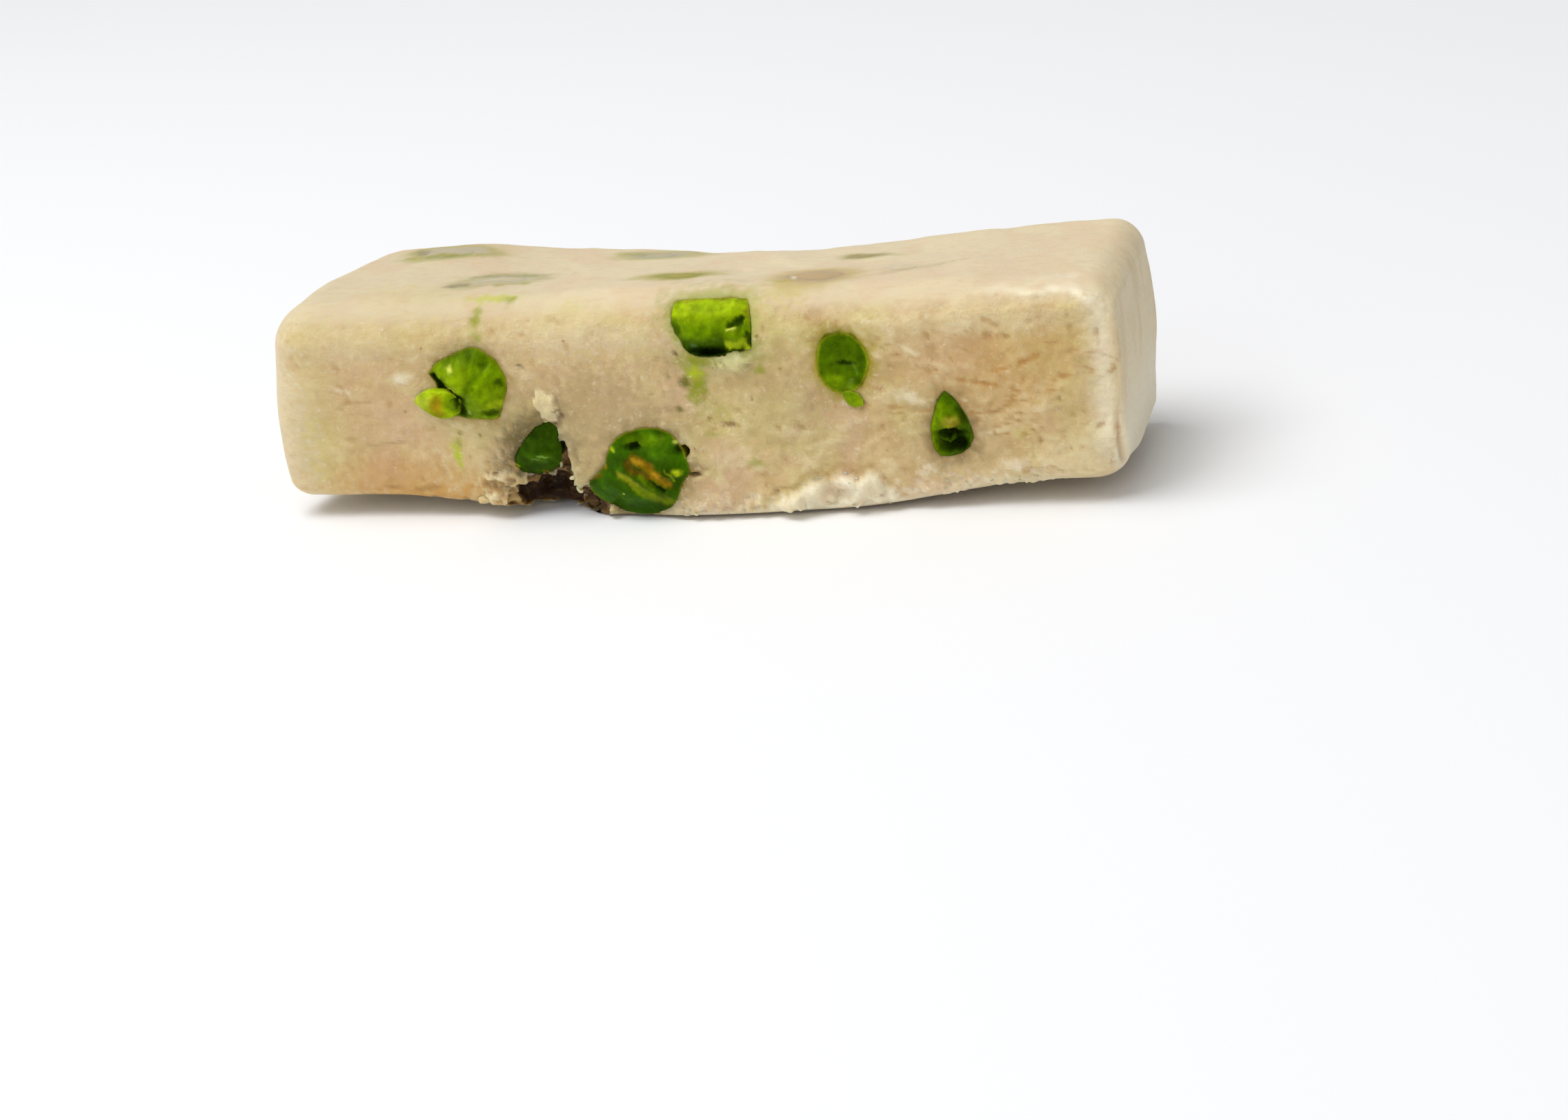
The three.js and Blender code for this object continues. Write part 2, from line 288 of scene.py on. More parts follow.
def round_edges(p):
    """Brings a block's edges in to the bar's rounded ones."""
    x, y, z = p.T
    left, right = smooth(-x, 20, 48), smooth(x, 20, 48)
    fore, rear = smooth(-y, 0, 12), smooth(y, -5, 12)
    up = smooth(z, 0.15 * HEIGHT, 0.7 * HEIGHT)
    radius = lerp(BASE_EDGE_RADIUS + (2.4 * right + 1.2 * left) * fore, TOP_EDGE_RADIUS, up)
    radius += 2.5 * left * rear + 1.8 * up * fore * (1 - right)
    radius -= 2.6 * right * fore * smooth(z, 3, 8) * (1 - smooth(z, 20, 25))
    low = np.stack([-LENGTH / 2 + radius, -DEPTH / 2 + radius, radius], -1)
    high = np.stack([LENGTH / 2 - radius, DEPTH / 2 - radius, HEIGHT - radius], -1)
    inner = np.clip(p, low, high)
    out = p - inner
    far = np.linalg.norm(out, axis=1)
    move = far > 1e-9
    q = p.copy()
    q[move] = inner[move] + out[move] / far[move, None] * radius[move, None]
    return q


def sag(p):
    """Bends the block: the crowned front, the sagged back, the lifted ends, the belly and the slants."""
    x, y, z = p.T
    height = clamp01(z / HEIGHT)
    back = clamp01((y + DEPTH / 2) / DEPTH)
    front = HEIGHT + CROWN * bell(x, CROWN_X, 18) + 0.5 * bell(x, 34, 10)
    rear = HEIGHT + BACK_RISE + 0.4 * bell(x, -34, 16) - BACK_SAG * bell(x, BACK_SAG_X, 26)
    rear -= 0.5 * bell(x, -22, 7)
    off_foot = np.maximum(smooth(np.abs(x - CROWN_X), 12, LIFT_FROM), smooth(np.abs(y), 7, 10))
    base = FOOT_RISE * off_foot + END_LIFT * smooth(np.abs(x - CROWN_X), LIFT_FROM, LIFT_TO)
    y = y - BELLY * bell(x, 0, 20) * (1 - back) * (1 - height) ** 1.3
    end = np.abs(x) / (LENGTH / 2)
    left = end ** 3 * (LEFT_SLANT * back ** 1.5 - LEFT_LEAN * bell(height, 0.25, 0.6))
    left -= end ** 6 * (OVERHANG * smooth(height, 0.12, 0.6) - 0.4)
    right = end ** 8 * RIGHT_BULGE * lerp(0.3, 1.0, back) * bell(height, 0.56, 0.32)
    x = x + np.where(x < 0, left, right)
    return np.stack([x, y, lerp(base, lerp(front, rear, back), height)], -1)


# Where each kernel lies. at is the middle of what shows, on the bar's face. outline is what shows, as points
# round it along the face and up it. sunk, cap and bow are as in the part's source.

FACES = {
    "front": ((0, -1, 0), (1, 0, 0)),
    "back": ((0, 1, 0), (-1, 0, 0)),
    "top": ((0, 0, 1), (1, 0, 0)),
    "base": ((0, 0, -1), (1, 0, 0)),
    "left": ((-1, 0.32, 0.1), (0, 0, 1)),
    "rim": ((0, -0.92, 0.39), (1, 0, 0)),
}


def axes_of(face):
    """Along the face, up the face and out of it."""
    out, along = (np.array(v, float) for v in FACES[face])
    out /= np.linalg.norm(out)
    along -= out * along.dot(out)
    along /= np.linalg.norm(along)
    return np.stack([along, np.cross(out, along), out])


class Kernel:
    """Where a kernel lies, the outline that shows of it, and the traces that it leaves in the nougat, with
    the shade painted round it.
    """

    def __init__(self, name, face, at, outline=None, half=(5, 4, 4), turn=0.0, sunk=0.6, cap=0.8, bow=0.5,
                 blunt=0.85, tip=0.12, flush=False, seed=1, halo=0.35, glow=("#9a8c3a", 0.5, 0.6)):
        self.name, self.at, self.half, self.seed = name, np.array(at, float), half, seed
        self.sunk, self.cap, self.bow, self.blunt, self.flush = sunk, cap, bow, blunt, flush
        self.halo, self.glow = halo, glow
        self.axes = axes_of(face)
        if outline is None:
            angles = np.radians(np.arange(0, 360, 6.0))
            u = np.cos(angles) * half[0]
            v = np.sin(angles) * half[1] * (1 - tip * np.cos(angles))
            wobble = 1 + 0.05 * np.sin(3 * angles + seed) + 0.03 * np.sin(5 * angles + 2 * seed)
            outline = np.stack(turned(u, v, -turn), -1) * wobble[:, None]
        else:
            corners = np.array(outline, float) - (self.at[[0, 2]] if face == "front" else 0)
            steps = np.linspace(0, 1, 12, endpoint=False)[:, None]
            sides = zip(corners, np.roll(corners, -1, axis=0))
            outline = np.concatenate([lerp(a, b, steps) for a, b in sides])
        turns = np.arctan2(outline[:, 1], outline[:, 0])
        order = np.argsort(turns)
        self.turns, self.reach = turns[order], np.hypot(*outline.T)[order]

    def radius(self, u, v):
        return np.interp(np.arctan2(v, u), self.turns, self.reach, period=2 * math.pi)

    def lay_on(self, p):
        """Fits the bar's surface round the kernel, as its height over the kernel's own plane."""
        u, v, w = self.local(p).T
        close = (np.hypot(u, v) < FITTED) & (np.abs(w) < FITTED / 3)
        terms = self.terms(u[close], v[close])
        self.lie = np.linalg.lstsq(terms, w[close], rcond=None)[0]

    def terms(self, u, v):
        return np.stack([np.ones(len(u)), u, v, u * u, u * v, v * v], -1)

    def surface(self, u, v):
        return self.terms(u, v) @ self.lie

    def local(self, p):
        return (p - self.at) @ self.axes.T

    def world(self, local):
        return local @ self.axes + self.at


def front(name, at, outline, **more):
    return Kernel(name, "front", at, outline, **more)


def back(name, at, half, turn, **more):
    return Kernel(f"back_{name}_kernel", "back", at, half=half, turn=turn, **more)


# How much a kernel darkens the nougat round it is partly its oil and partly painted shade. Its glow tints
# the nougat just past its outline with its colour seen through the thin nougat; round the sunken and hollow
# kernels that tint is painted shade.
DOMED = front("front_domed_kernel", (-26.3, -13.6, 17), [
    (-31.4, 18.2), (-30.4, 19.4), (-28.7, 20.2), (-26.2, 21.2), (-24.9, 21.1), (-22.8, 19.6), (-21.8, 17.6),
    (-21.8, 16.3), (-22.6, 14.2), (-23.3, 12.7), (-24.1, 12.4), (-27.2, 12.6), (-29.5, 13.2), (-30.3, 15.1),
    (-30.7, 17.2)], sunk=0.9, cap=2.6, bow=1.68, seed=1, halo=0.3, glow=("#a3842e", 0.7, 0.7))
SUNKEN = front("front_sunken_kernel", (-19.2, -14.1, 8.3), [
    (-17.2, 12), (-18.8, 11.4), (-20.1, 10.2), (-21.4, 8.8), (-22.2, 7.5), (-22.3, 6.4), (-21.6, 5.5),
    (-19.8, 5.2), (-18.2, 5.3), (-16.8, 6), (-16.2, 7), (-16.1, 8.7), (-16.1, 10.2), (-16.2, 11.6)],
    sunk=1.2, cap=1.7, bow=0.7, seed=2, halo=0.8, glow=("#5f5229", 0.85, 1.9))
BROKEN = front("front_broken_kernel", (-6.3, -15.2, 5.3), [
    (-10.2, 7.9), (-9.7, 8.9), (-8.8, 10), (-7.7, 10.6), (-5.8, 11.1), (-3.7, 11.1), (-2.2, 10.5),
    (-1.3, 9.5), (-0.7, 8.5), (-0.3, 6.9), (-0.1, 5.8), (-0.9, 5), (-1.5, 3.9), (-2, 2.6), (-3.2, 1.2),
    (-4.9, 0.4), (-7, 0.2), (-9, 0.5), (-10.7, 1.4), (-11.9, 2.2), (-12.9, 3.2), (-13.2, 4.2),
    (-12.1, 5.2), (-11.2, 6), (-10.5, 6.8)],
    sunk=0.8, cap=1.6, bow=0.78, seed=3, halo=0.7, glow=("#7a6620", 0.75, 0.6))
BARREL = Kernel("rim_barrel_kernel", "rim", (4.3, -13.2, 23.1), [
    (-4.7, 2.8), (-2.5, 3), (1.9, 3), (3.7, 2.8), (4.1, 2.1), (4.4, 0.7), (4.5, -0.6), (4.4, -3),
    (3.4, -3.2), (1.9, -3.2), (1.1, -3.6), (-0.7, -3.8), (-2, -3.7), (-3.1, -3.3), (-3.8, -2.6),
    (-4, -1.9), (-4.8, -0.9), (-5.2, 0.2), (-5.2, 1.1), (-5, 2.1)],
    sunk=2.35, cap=3.55, bow=1.12, blunt=0.6, seed=4, halo=0.2, glow=("#9ba033", 0.8, 1.2))
OVAL = front("front_oval_kernel", (19.1, -13.8, 18.1), [
    (16.6, 20.6), (17.4, 21.3), (18.9, 21.6), (20.3, 21.3), (21.3, 20.4), (22, 19.2), (22.2, 18),
    (21.7, 16.5), (21, 15.3), (20, 14.7), (18.8, 14.5), (17.7, 14.8), (16.8, 15.7), (16.2, 16.9),
    (16.1, 18.4), (16.3, 19.6)],
    sunk=0.4, cap=0.5, bow=0.05, seed=5, halo=0.1, glow=("#a4941c", 1, 1))
HOLLOW = front("front_hollow_kernel", (30.9, -13.7, 10), [
    (30.6, 14.3), (31.4, 13.7), (32.2, 12.6), (33, 11.1), (33.4, 9.6), (33.5, 8.6), (32.9, 7.4),
    (31.9, 6.7), (30.7, 6.4), (29.5, 6.5), (28.9, 7.3), (28.7, 8.7), (28.7, 10), (29.1, 11.4),
    (29.7, 13.1)],
    sunk=0.7, cap=0.9, bow=0.15, seed=6, halo=0.5, glow=("#7d6430", 0.75, 0.9))
FLAP = front("domed_kernel_flap", (-30.2, -14.3, 14.6), [
    (-27.6, 14.8), (-28, 13.4), (-29.2, 12.8), (-30.6, 12.8), (-31.7, 13.4), (-32.6, 14.1), (-33.5, 15),
    (-33.2, 15.6), (-32.2, 16.2), (-30.8, 16.5), (-29.3, 16.2), (-28.2, 15.6)],
    half=(3, 1.7, 1), sunk=0.25, cap=0.8, bow=0.45, seed=13)
CHIP = front("oval_kernel_chip", (20, -14.1, 13.6), [
    (18.6, 14.7), (19.6, 14.8), (20.6, 14.4), (21.1, 13.6), (21.1, 12.9), (20.1, 12.7), (19.3, 13.1),
    (18.9, 13.9)],
    half=(1.2, 0.8, 0.7), sunk=0.35, cap=0.55, bow=0.25, seed=14)
OPEN = [
    DOMED, SUNKEN, BROKEN, BARREL, OVAL, HOLLOW,
    back("split", (-31, 13.4, 9.5), (6.4, 3.9, 4), 24, cap=1.8, bow=1.4, seed=7),
    back("round", (-11, 13.4, 17.5), (4.2, 4, 4), 70, cap=1.5, bow=1.2, seed=8),
    back("long", (5.5, 13.4, 8.4), (7.2, 3.6, 4.2), -16, cap=0.7, bow=0.3, seed=9),
    back("sunken", (25, 13.4, 15.8), (5, 3.8, 4), 40, sunk=1.6, cap=1.4, bow=1, seed=10),
    back("hollow", (39.5, 13.4, 8.6), (4.4, 3, 3.6), 108, tip=0.2, seed=11),
    Kernel("left_end_kernel", "left", (-49.6, 0.5, 12.4), half=(5.6, 3.8, 4), turn=34, seed=12),
]


def flush(face, number, at, half, turn, seed):
    """A kernel that lies level in the slab's skin. What shows of it is the cut of its half by the face."""
    shown = (half[0] * FLUSH_CUT, half[1] * FLUSH_CUT, half[2])
    return Kernel(f"{face}_kernel_{number}", face, at, half=shown, turn=turn, sunk=0.25, cap=0.28, bow=0.7,
                  flush=True, seed=seed)


FLUSH = [flush(*row) for row in (
    ("top", 1, (-33.8, 6.8, 26.4), (7, 3.1, 3.6), 4, 21),
    ("top", 2, (-24.6, -3, 25.9), (7.5, 3.2, 3.8), 14, 22),
    ("top", 3, (-7.4, 8, 25), (6.4, 2.4, 3.4), 12, 23),
    ("top", 4, (-1.9, -3.9, 25.9), (5.2, 2, 2.8), 10, 24),
    ("top", 5, (14.8, -6.2, 25.9), (6.1, 4.6, 3.6), 6, 25),
    ("top", 6, (19, 3.6, 25.2), (4.4, 1.4, 2.4), -12, 26),
    ("top", 7, (25, -3.8, 25.8), (4.4, 2.1, 3), -6, 27),
    ("base", 1, (-27, 2.5, 1.2), (6.8, 3.9, 3.8), 35, 28),
    ("base", 2, (8, 2.4, 0.2), (6.2, 3.4, 3.6), -20, 29),
    ("base", 3, (36, 3, 2), (5.6, 3.2, 3.6), 80, 30),
)]


# Hollows torn out of the bar: the middle of each, its reach, how rough its edge is, and how pale its rim
SCOOPS = [
    ((-18.2, -16.6, 0.2), (5.3, 8.4, 6.3), 0.3, 0.35),
    ((-15.8, -15.6, 6.6), (0.7, 3.4, 3.2), 0.45, 0.3),
    ((-16.2, -15.6, 5), (0.9, 3.4, 1.1), 0.3, 0),
    ((-13.3, -16.4, 1.2), (2.7, 4, 2.6), 0.35, 0.5),
    ((-29, -15.4, 1.2), (2.6, 3.2, 1.8), 0.35, 0),
    ((-33.6, -15.2, 1.7), (1.4, 2.6, 1), 0.35, 0),
    ((-38.5, -15.2, 2.1), (2.6, 2.6, 0.9), 0.35, 0),
    ((-0.6, -16.2, 8.4), (0.75, 3, 0.85), 0.5, 0.3),
    ((0.3, -16.2, 5.5), (0.9, 2.9, 0.35), 0.4, 0.2),
    ((13, 15.2, 1), (5, 3.2, 3.4), 0.3, 0.3),
]


def scooped(p):
    """Pushes points out of each scoop, to a rough bowl. Says how deep each went, and how pale it is."""
    deep, pale = np.zeros(len(p)), np.zeros(len(p))
    for k, (centre, reach, rough, rim) in enumerate(SCOOPS):
        centre = np.array(centre)
        far = np.linalg.norm((p - centre) / np.array(reach), axis=1)
        close = np.where(far < 2.2)[0]
        edge = 1 + rough * cloud(p[close], 1.8, 3, seed=k + 40)
        ratio = edge / np.maximum(far[close], 1e-6)
        moved = centre + (p[close] - centre) * np.maximum(ratio, 1)[:, None]
        deep[close] = np.maximum(deep[close], np.linalg.norm(moved - p[close], axis=1))
        beyond = (1 / ratio - 1) * min(reach)
        pale[close] = np.maximum(pale[close], rim * edge ** 3 * bell(beyond, 0.25, 0.45) * (beyond > 0))
        p[close] = moved
    return p, deep, pale


# Tints of nougat, of what the kernels and the knife have left on it, and of the shade painted in its
# crevices and hollows and round its kernels
CREAM, PINK, YELLOW = "#d6bd8b", "#d0b08b", "#d3c386"
LIGHT, VALLEY, CREVICE_SHADE = "#e6d8b0", "#c4a36c", "#b88a45"
TOP_SKIN, TOP_PINK, END_SKIN, TORN = "#dbccab", "#dac6a6", "#e3d4b1", "#eee5ca"
OIL_AND_SHADE_TINT, RUST = "#a8926a", "#b98743"
OCHRE, GREYISH, YELLOWISH, PALE_GREEN = "#c99d58", "#b19c70", "#cfc37c", "#d2cf96"
ROSY, FLAKE = "#cba682", "#dccd9f"
SMEAR, SMEAR_BRIGHT, SMEAR_DARK = "#8f9610", "#b5c318", "#63630c"
SHADOW_OLIVE = "#6b5f33"
BROWN, DARK_BROWN, CAVE_SHADE = "#94703a", "#5f3c17", "#37220f"

# Marks on a face in the order in which they are laid, each run of them after its colour: place along and
# up the face, half width and height, strength, and where they aren't 0, turn in degrees and rise
FRONT_MARKS = [
    # The broad tones come first
    # The two ochre marks low at the left end are painted shade along the foot; the other two are the
    # nougat's warm tone
    (OCHRE, [
        (41, 18.4, 9, 4.6, 0.5), (33, 15, 8, 5, 0.25), (-35, 2.6, 10, 1.5, 0.85, 4), (-37, 5, 8, 3.2, 0.7)]),
    (ROSY, [(-39, 13, 6.5, 7.5, 0.55), (-11, 16.6, 7, 4.2, 0.5), (31, 19, 5, 3, 0.35)]),
    (GREYISH, [(-11, 13, 8, 5, 0.65), (1.5, 18, 5, 4, 0.4), (12, 13, 6, 5, 0.5)]),
    (YELLOWISH, [
        (-47, 13, 3.2, 9, 0.35), (-36, 22.6, 11, 1.8, 0.35), (-10, 23.6, 12, 1.6, 0.3), (9, 12, 6, 3.5, 0.4),
        (10.5, 23, 4, 2.4, 0.5), (46, 12, 3, 8, 0.35)]),
    (TOP_SKIN, [(-51.5, 13, 4, 12, 0.75), (-12, 22.2, 11, 1.9, 0.5), (-42, 21.8, 6, 2.2, 0.35)]),
    (LIGHT, [(38, 22.8, 10, 1.7, 0.45), (45, 5.5, 5, 3, 0.45)]),
    (SMEAR, [(4.2, 12.6, 2.4, 1.3, 0.2)]),
    # Green dragged off the kernels by the knife
    (SMEAR_BRIGHT, [(-29.3, 7.8, 0.55, 1.5, 0.95, 8, 0.08)]),
    (SMEAR, [(-28.9, 9.6, 0.5, 0.6, 0.6)]),
    (SMEAR_DARK, [(-28.5, 10.7, 0.5, 0.22, 0.8), (-26.1, 10.4, 0.25, 0.25, 0.8)]),
    (SMEAR, [
        (-25.2, 24.2, 0.6, 0.7, 0.8), (-24.8, 22.4, 0.7, 0.5, 0.6, 20), (2.2, 19.1, 2.8, 0.8, 0.8),
        (1.6, 17.5, 1.5, 1.5, 0.8, 0, 0.05), (2.1, 15.9, 0.9, 1.7, 0.85)]),
    (SMEAR_BRIGHT, [(1.7, 17.6, 0.8, 0.8, 0.8, 0, 0.05)]),
    (SMEAR_DARK, [(0, 16.5, 0.7, 0.6, 0.9), (-1.8, 17.2, 0.5, 0.4, 0.6), (7.9, 18.4, 0.35, 0.45, 0.8)]),
    (SMEAR, [(9.3, 17.8, 0.6, 0.6, 0.8), (1.3, 15, 0.7, 1.5, 0.7, -10)]),
    (SMEAR_DARK, [(-0.7, 13.3, 1, 0.3, 0.8, -5, -0.1)]),
    (SMEAR, [(8, 6.6, 0.9, 0.5, 0.5), (2.8, 10.3, 0.9, 0.4, 0.4, -5)]),
    (SMEAR_DARK, [(15, 12.7, 0.35, 0.25, 0.4)]),
    # Painted shade up the sunken kernel's upper left side and in the gap between its tip and the flake above
    (DARK_BROWN, [(-16.4, 12.1, 1.2, 0.7, 0.9, 50, -0.3)]),
    (SHADOW_OLIVE, [(-21.4, 10.4, 3, 1.3, 0.6, 45, -0.1), (-18.6, 12.2, 1.4, 0.8, 0.6, 20, -0.1)]),
    # Dark specks and short tears
    (DARK_BROWN, [(-0.6, 20, 0.28, 0.42, 0.8, 20, -0.15)]),
    (BROWN, [
        (11.6, 17.6, 0.22, 0.22, 0.6), (2.9, 12.2, 0.25, 0.45, 0.85, -40, -0.1),
        (4.9, 11.3, 1.2, 0.28, 0.9, -3, -0.12)]),
    (DARK_BROWN, [(-19.9, 18.9, 0.4, 0.24, 0.75, -15, -0.1)]),
    (RUST, [
        (40.6, 17.8, 1.3, 0.4, 0.85, 25, -0.1), (37, 20.6, 1.2, 0.25, 0.5, 4, -0.06),
        (32.9, 15.6, 1, 0.25, 0.7, -8, -0.08), (35.4, 15.1, 1.3, 0.28, 0.9, -12, -0.1),
        (37.6, 16.8, 1.6, 0.22, 0.6, 18, -0.08), (44.3, 15.6, 1.3, 0.25, 0.7, 12, -0.08),
        (43, 14, 1.3, 0.22, 0.6, 8, -0.08), (45.6, 18.7, 0.9, 0.25, 0.6, 6, -0.06),
        (43.6, 19.6, 0.7, 0.22, 0.6, 0, -0.06), (28.6, 16.9, 1.2, 0.28, 0.5, -22, -0.1),
        (22.8, 14.9, 0.9, 0.28, 0.6, -22, -0.1), (24.6, 12.6, 1.2, 0.22, 0.5, -14, -0.08),
        (36, 11.6, 1.6, 0.25, 0.5, -6, -0.08)]),
    (BROWN, [(0.6, 5.6, 1.5, 0.35, 0.85, 25, -0.2)]),
    # Painted shade along the foot at the left end
    (RUST, [(-36, 1.6, 6.5, 0.9, 0.75, 4)]),
    (YELLOWISH, [(39.2, 8.9, 0.9, 0.7, 0.7)]),
    (RUST, [(39.5, 8.8, 0.45, 0.4, 0.6)]),
    (BROWN, [(-34.1, 3.6, 1.3, 0.4, 0.5, 6, -0.1), (-38.2, 3.8, 0.9, 0.3, 0.4, 0, -0.1)]),
    (DARK_BROWN, [(34.3, 5.8, 0.2, 0.2, 0.7)]),
    (BROWN, [(-41, 14.8, 2, 0.18, 0.25, 4, -0.08), (-38.5, 9.4, 2.4, 0.18, 0.25, 6, -0.08)]),
    # Pale shreds and sugary flakes
    (PALE_GREEN, [(6.3, 18.9, 2.1, 1.1, 0.95, 0, 0.8)]),
    (TORN, [(-35, 17.6, 1.3, 0.55, 0.75, 10, 0.12), (-42.8, 16.2, 1.5, 0.35, 0.5, -22, 0.1)]),
    (LIGHT, [
        (-33.4, 19.8, 0.9, 0.3, 0.4, 0, 0.05), (26.3, 19.6, 1, 0.38, 0.8, -30, 0.12),
        (27.7, 18.9, 0.6, 0.3, 0.7, -10, 0.1), (24.9, 20.5, 0.45, 0.3, 0.6, 0, 0.08)]),
    (TORN, [(26.5, 13.6, 1.8, 0.8, 0.6, -18, 0.14)]),
    (LIGHT, [(30.2, 17.4, 1.6, 0.3, 0.35, -14, 0.08), (36, 9.2, 1.6, 0.35, 0.5, 12, 0.1)]),
    (TORN, [(27.7, 5, 0.9, 0.8, 0.75, 0, 0.2)]),
    (LIGHT, [(35.4, 3.4, 2.4, 0.6, 0.6, 5, 0.18)]),
    (TORN, [(37.8, 5, 2, 0.7, 0.6, 8, 0.14)]),
    (LIGHT, [
        (42, 12, 1.6, 0.3, 0.35, 8, 0.08), (12.5, 10, 2.6, 0.7, 0.35, -8, 0.08),
        (-19, 17.6, 0.9, 0.5, 0.4, 0, 0.1), (17, 8.6, 2.4, 0.5, 0.3, 6, 0.08)]),
]
TOP_MARKS = [
    (SMEAR_BRIGHT, [(-23.2, -9.6, 3.2, 0.8, 0.6)]),
    (SMEAR, [
        (-21.3, -10.1, 0.8, 0.8, 0.65), (-24.8, -12, 0.5, 0.7, 0.7), (-24.2, -5.4, 0.7, 0.35, 0.6),
        (-21.2, -4.4, 1.6, 0.4, 0.55, 6)]),
    (YELLOWISH, [(-13, -11.6, 1.4, 0.8, 0.45), (-34, -8, 8, 3, 0.25)]),
    (TOP_PINK, [(34, -2, 8, 6, 0.6)]),
    (LIGHT, [(8, 2, 7, 3, 0.4)]),
    (GREYISH, [(26, -4.5, 6.5, 0.7, 0.35, 22, -0.05)]),
    (LIGHT, [(20.5, 1.6, 3, 1, 0.5, 10)]),
    (YELLOWISH, [(12, -10.5, 3, 1.4, 0.4)]),
]

# The upper edge of the lip that the knife tore up at the foot
LIP = [
    (7, -1), (9.5, 1.8), (10.8, 2.6), (12.3, 3.4), (14.2, 4.2), (16.1, 4.7), (17.9, 4.8), (19.6, 3.9),
    (21.1, 5.2), (21.8, 4.9), (22.6, 3.6), (25.5, 0.5)]


def far_from(mark, a, b):
    """How many half sizes each point is off a mark's middle, with the mark's strength and rise."""
    at_a, at_b, half_a, half_b, strength, turn, rise = (*mark, 0, 0)[:7]
    across, up = turned(a - at_a, b - at_b, turn)
    return np.hypot(across / half_a, up / half_b), strength, rise


def lay_marks(groups, a, b, on, fuzz, tint):
    """Blends marks into the tint, and gives how far the surface rises under them."""
    raised = np.zeros(len(a))
    for colour, marks in groups:
        for mark in marks:
            far, strength, rise = far_from(mark, a, b)
            amount = on * np.exp(-np.maximum(far + 0.7 * fuzz, 0.0) ** 3)
            tint[:] = blend(tint, colour, strength * amount)
            raised += rise * amount
    return raised


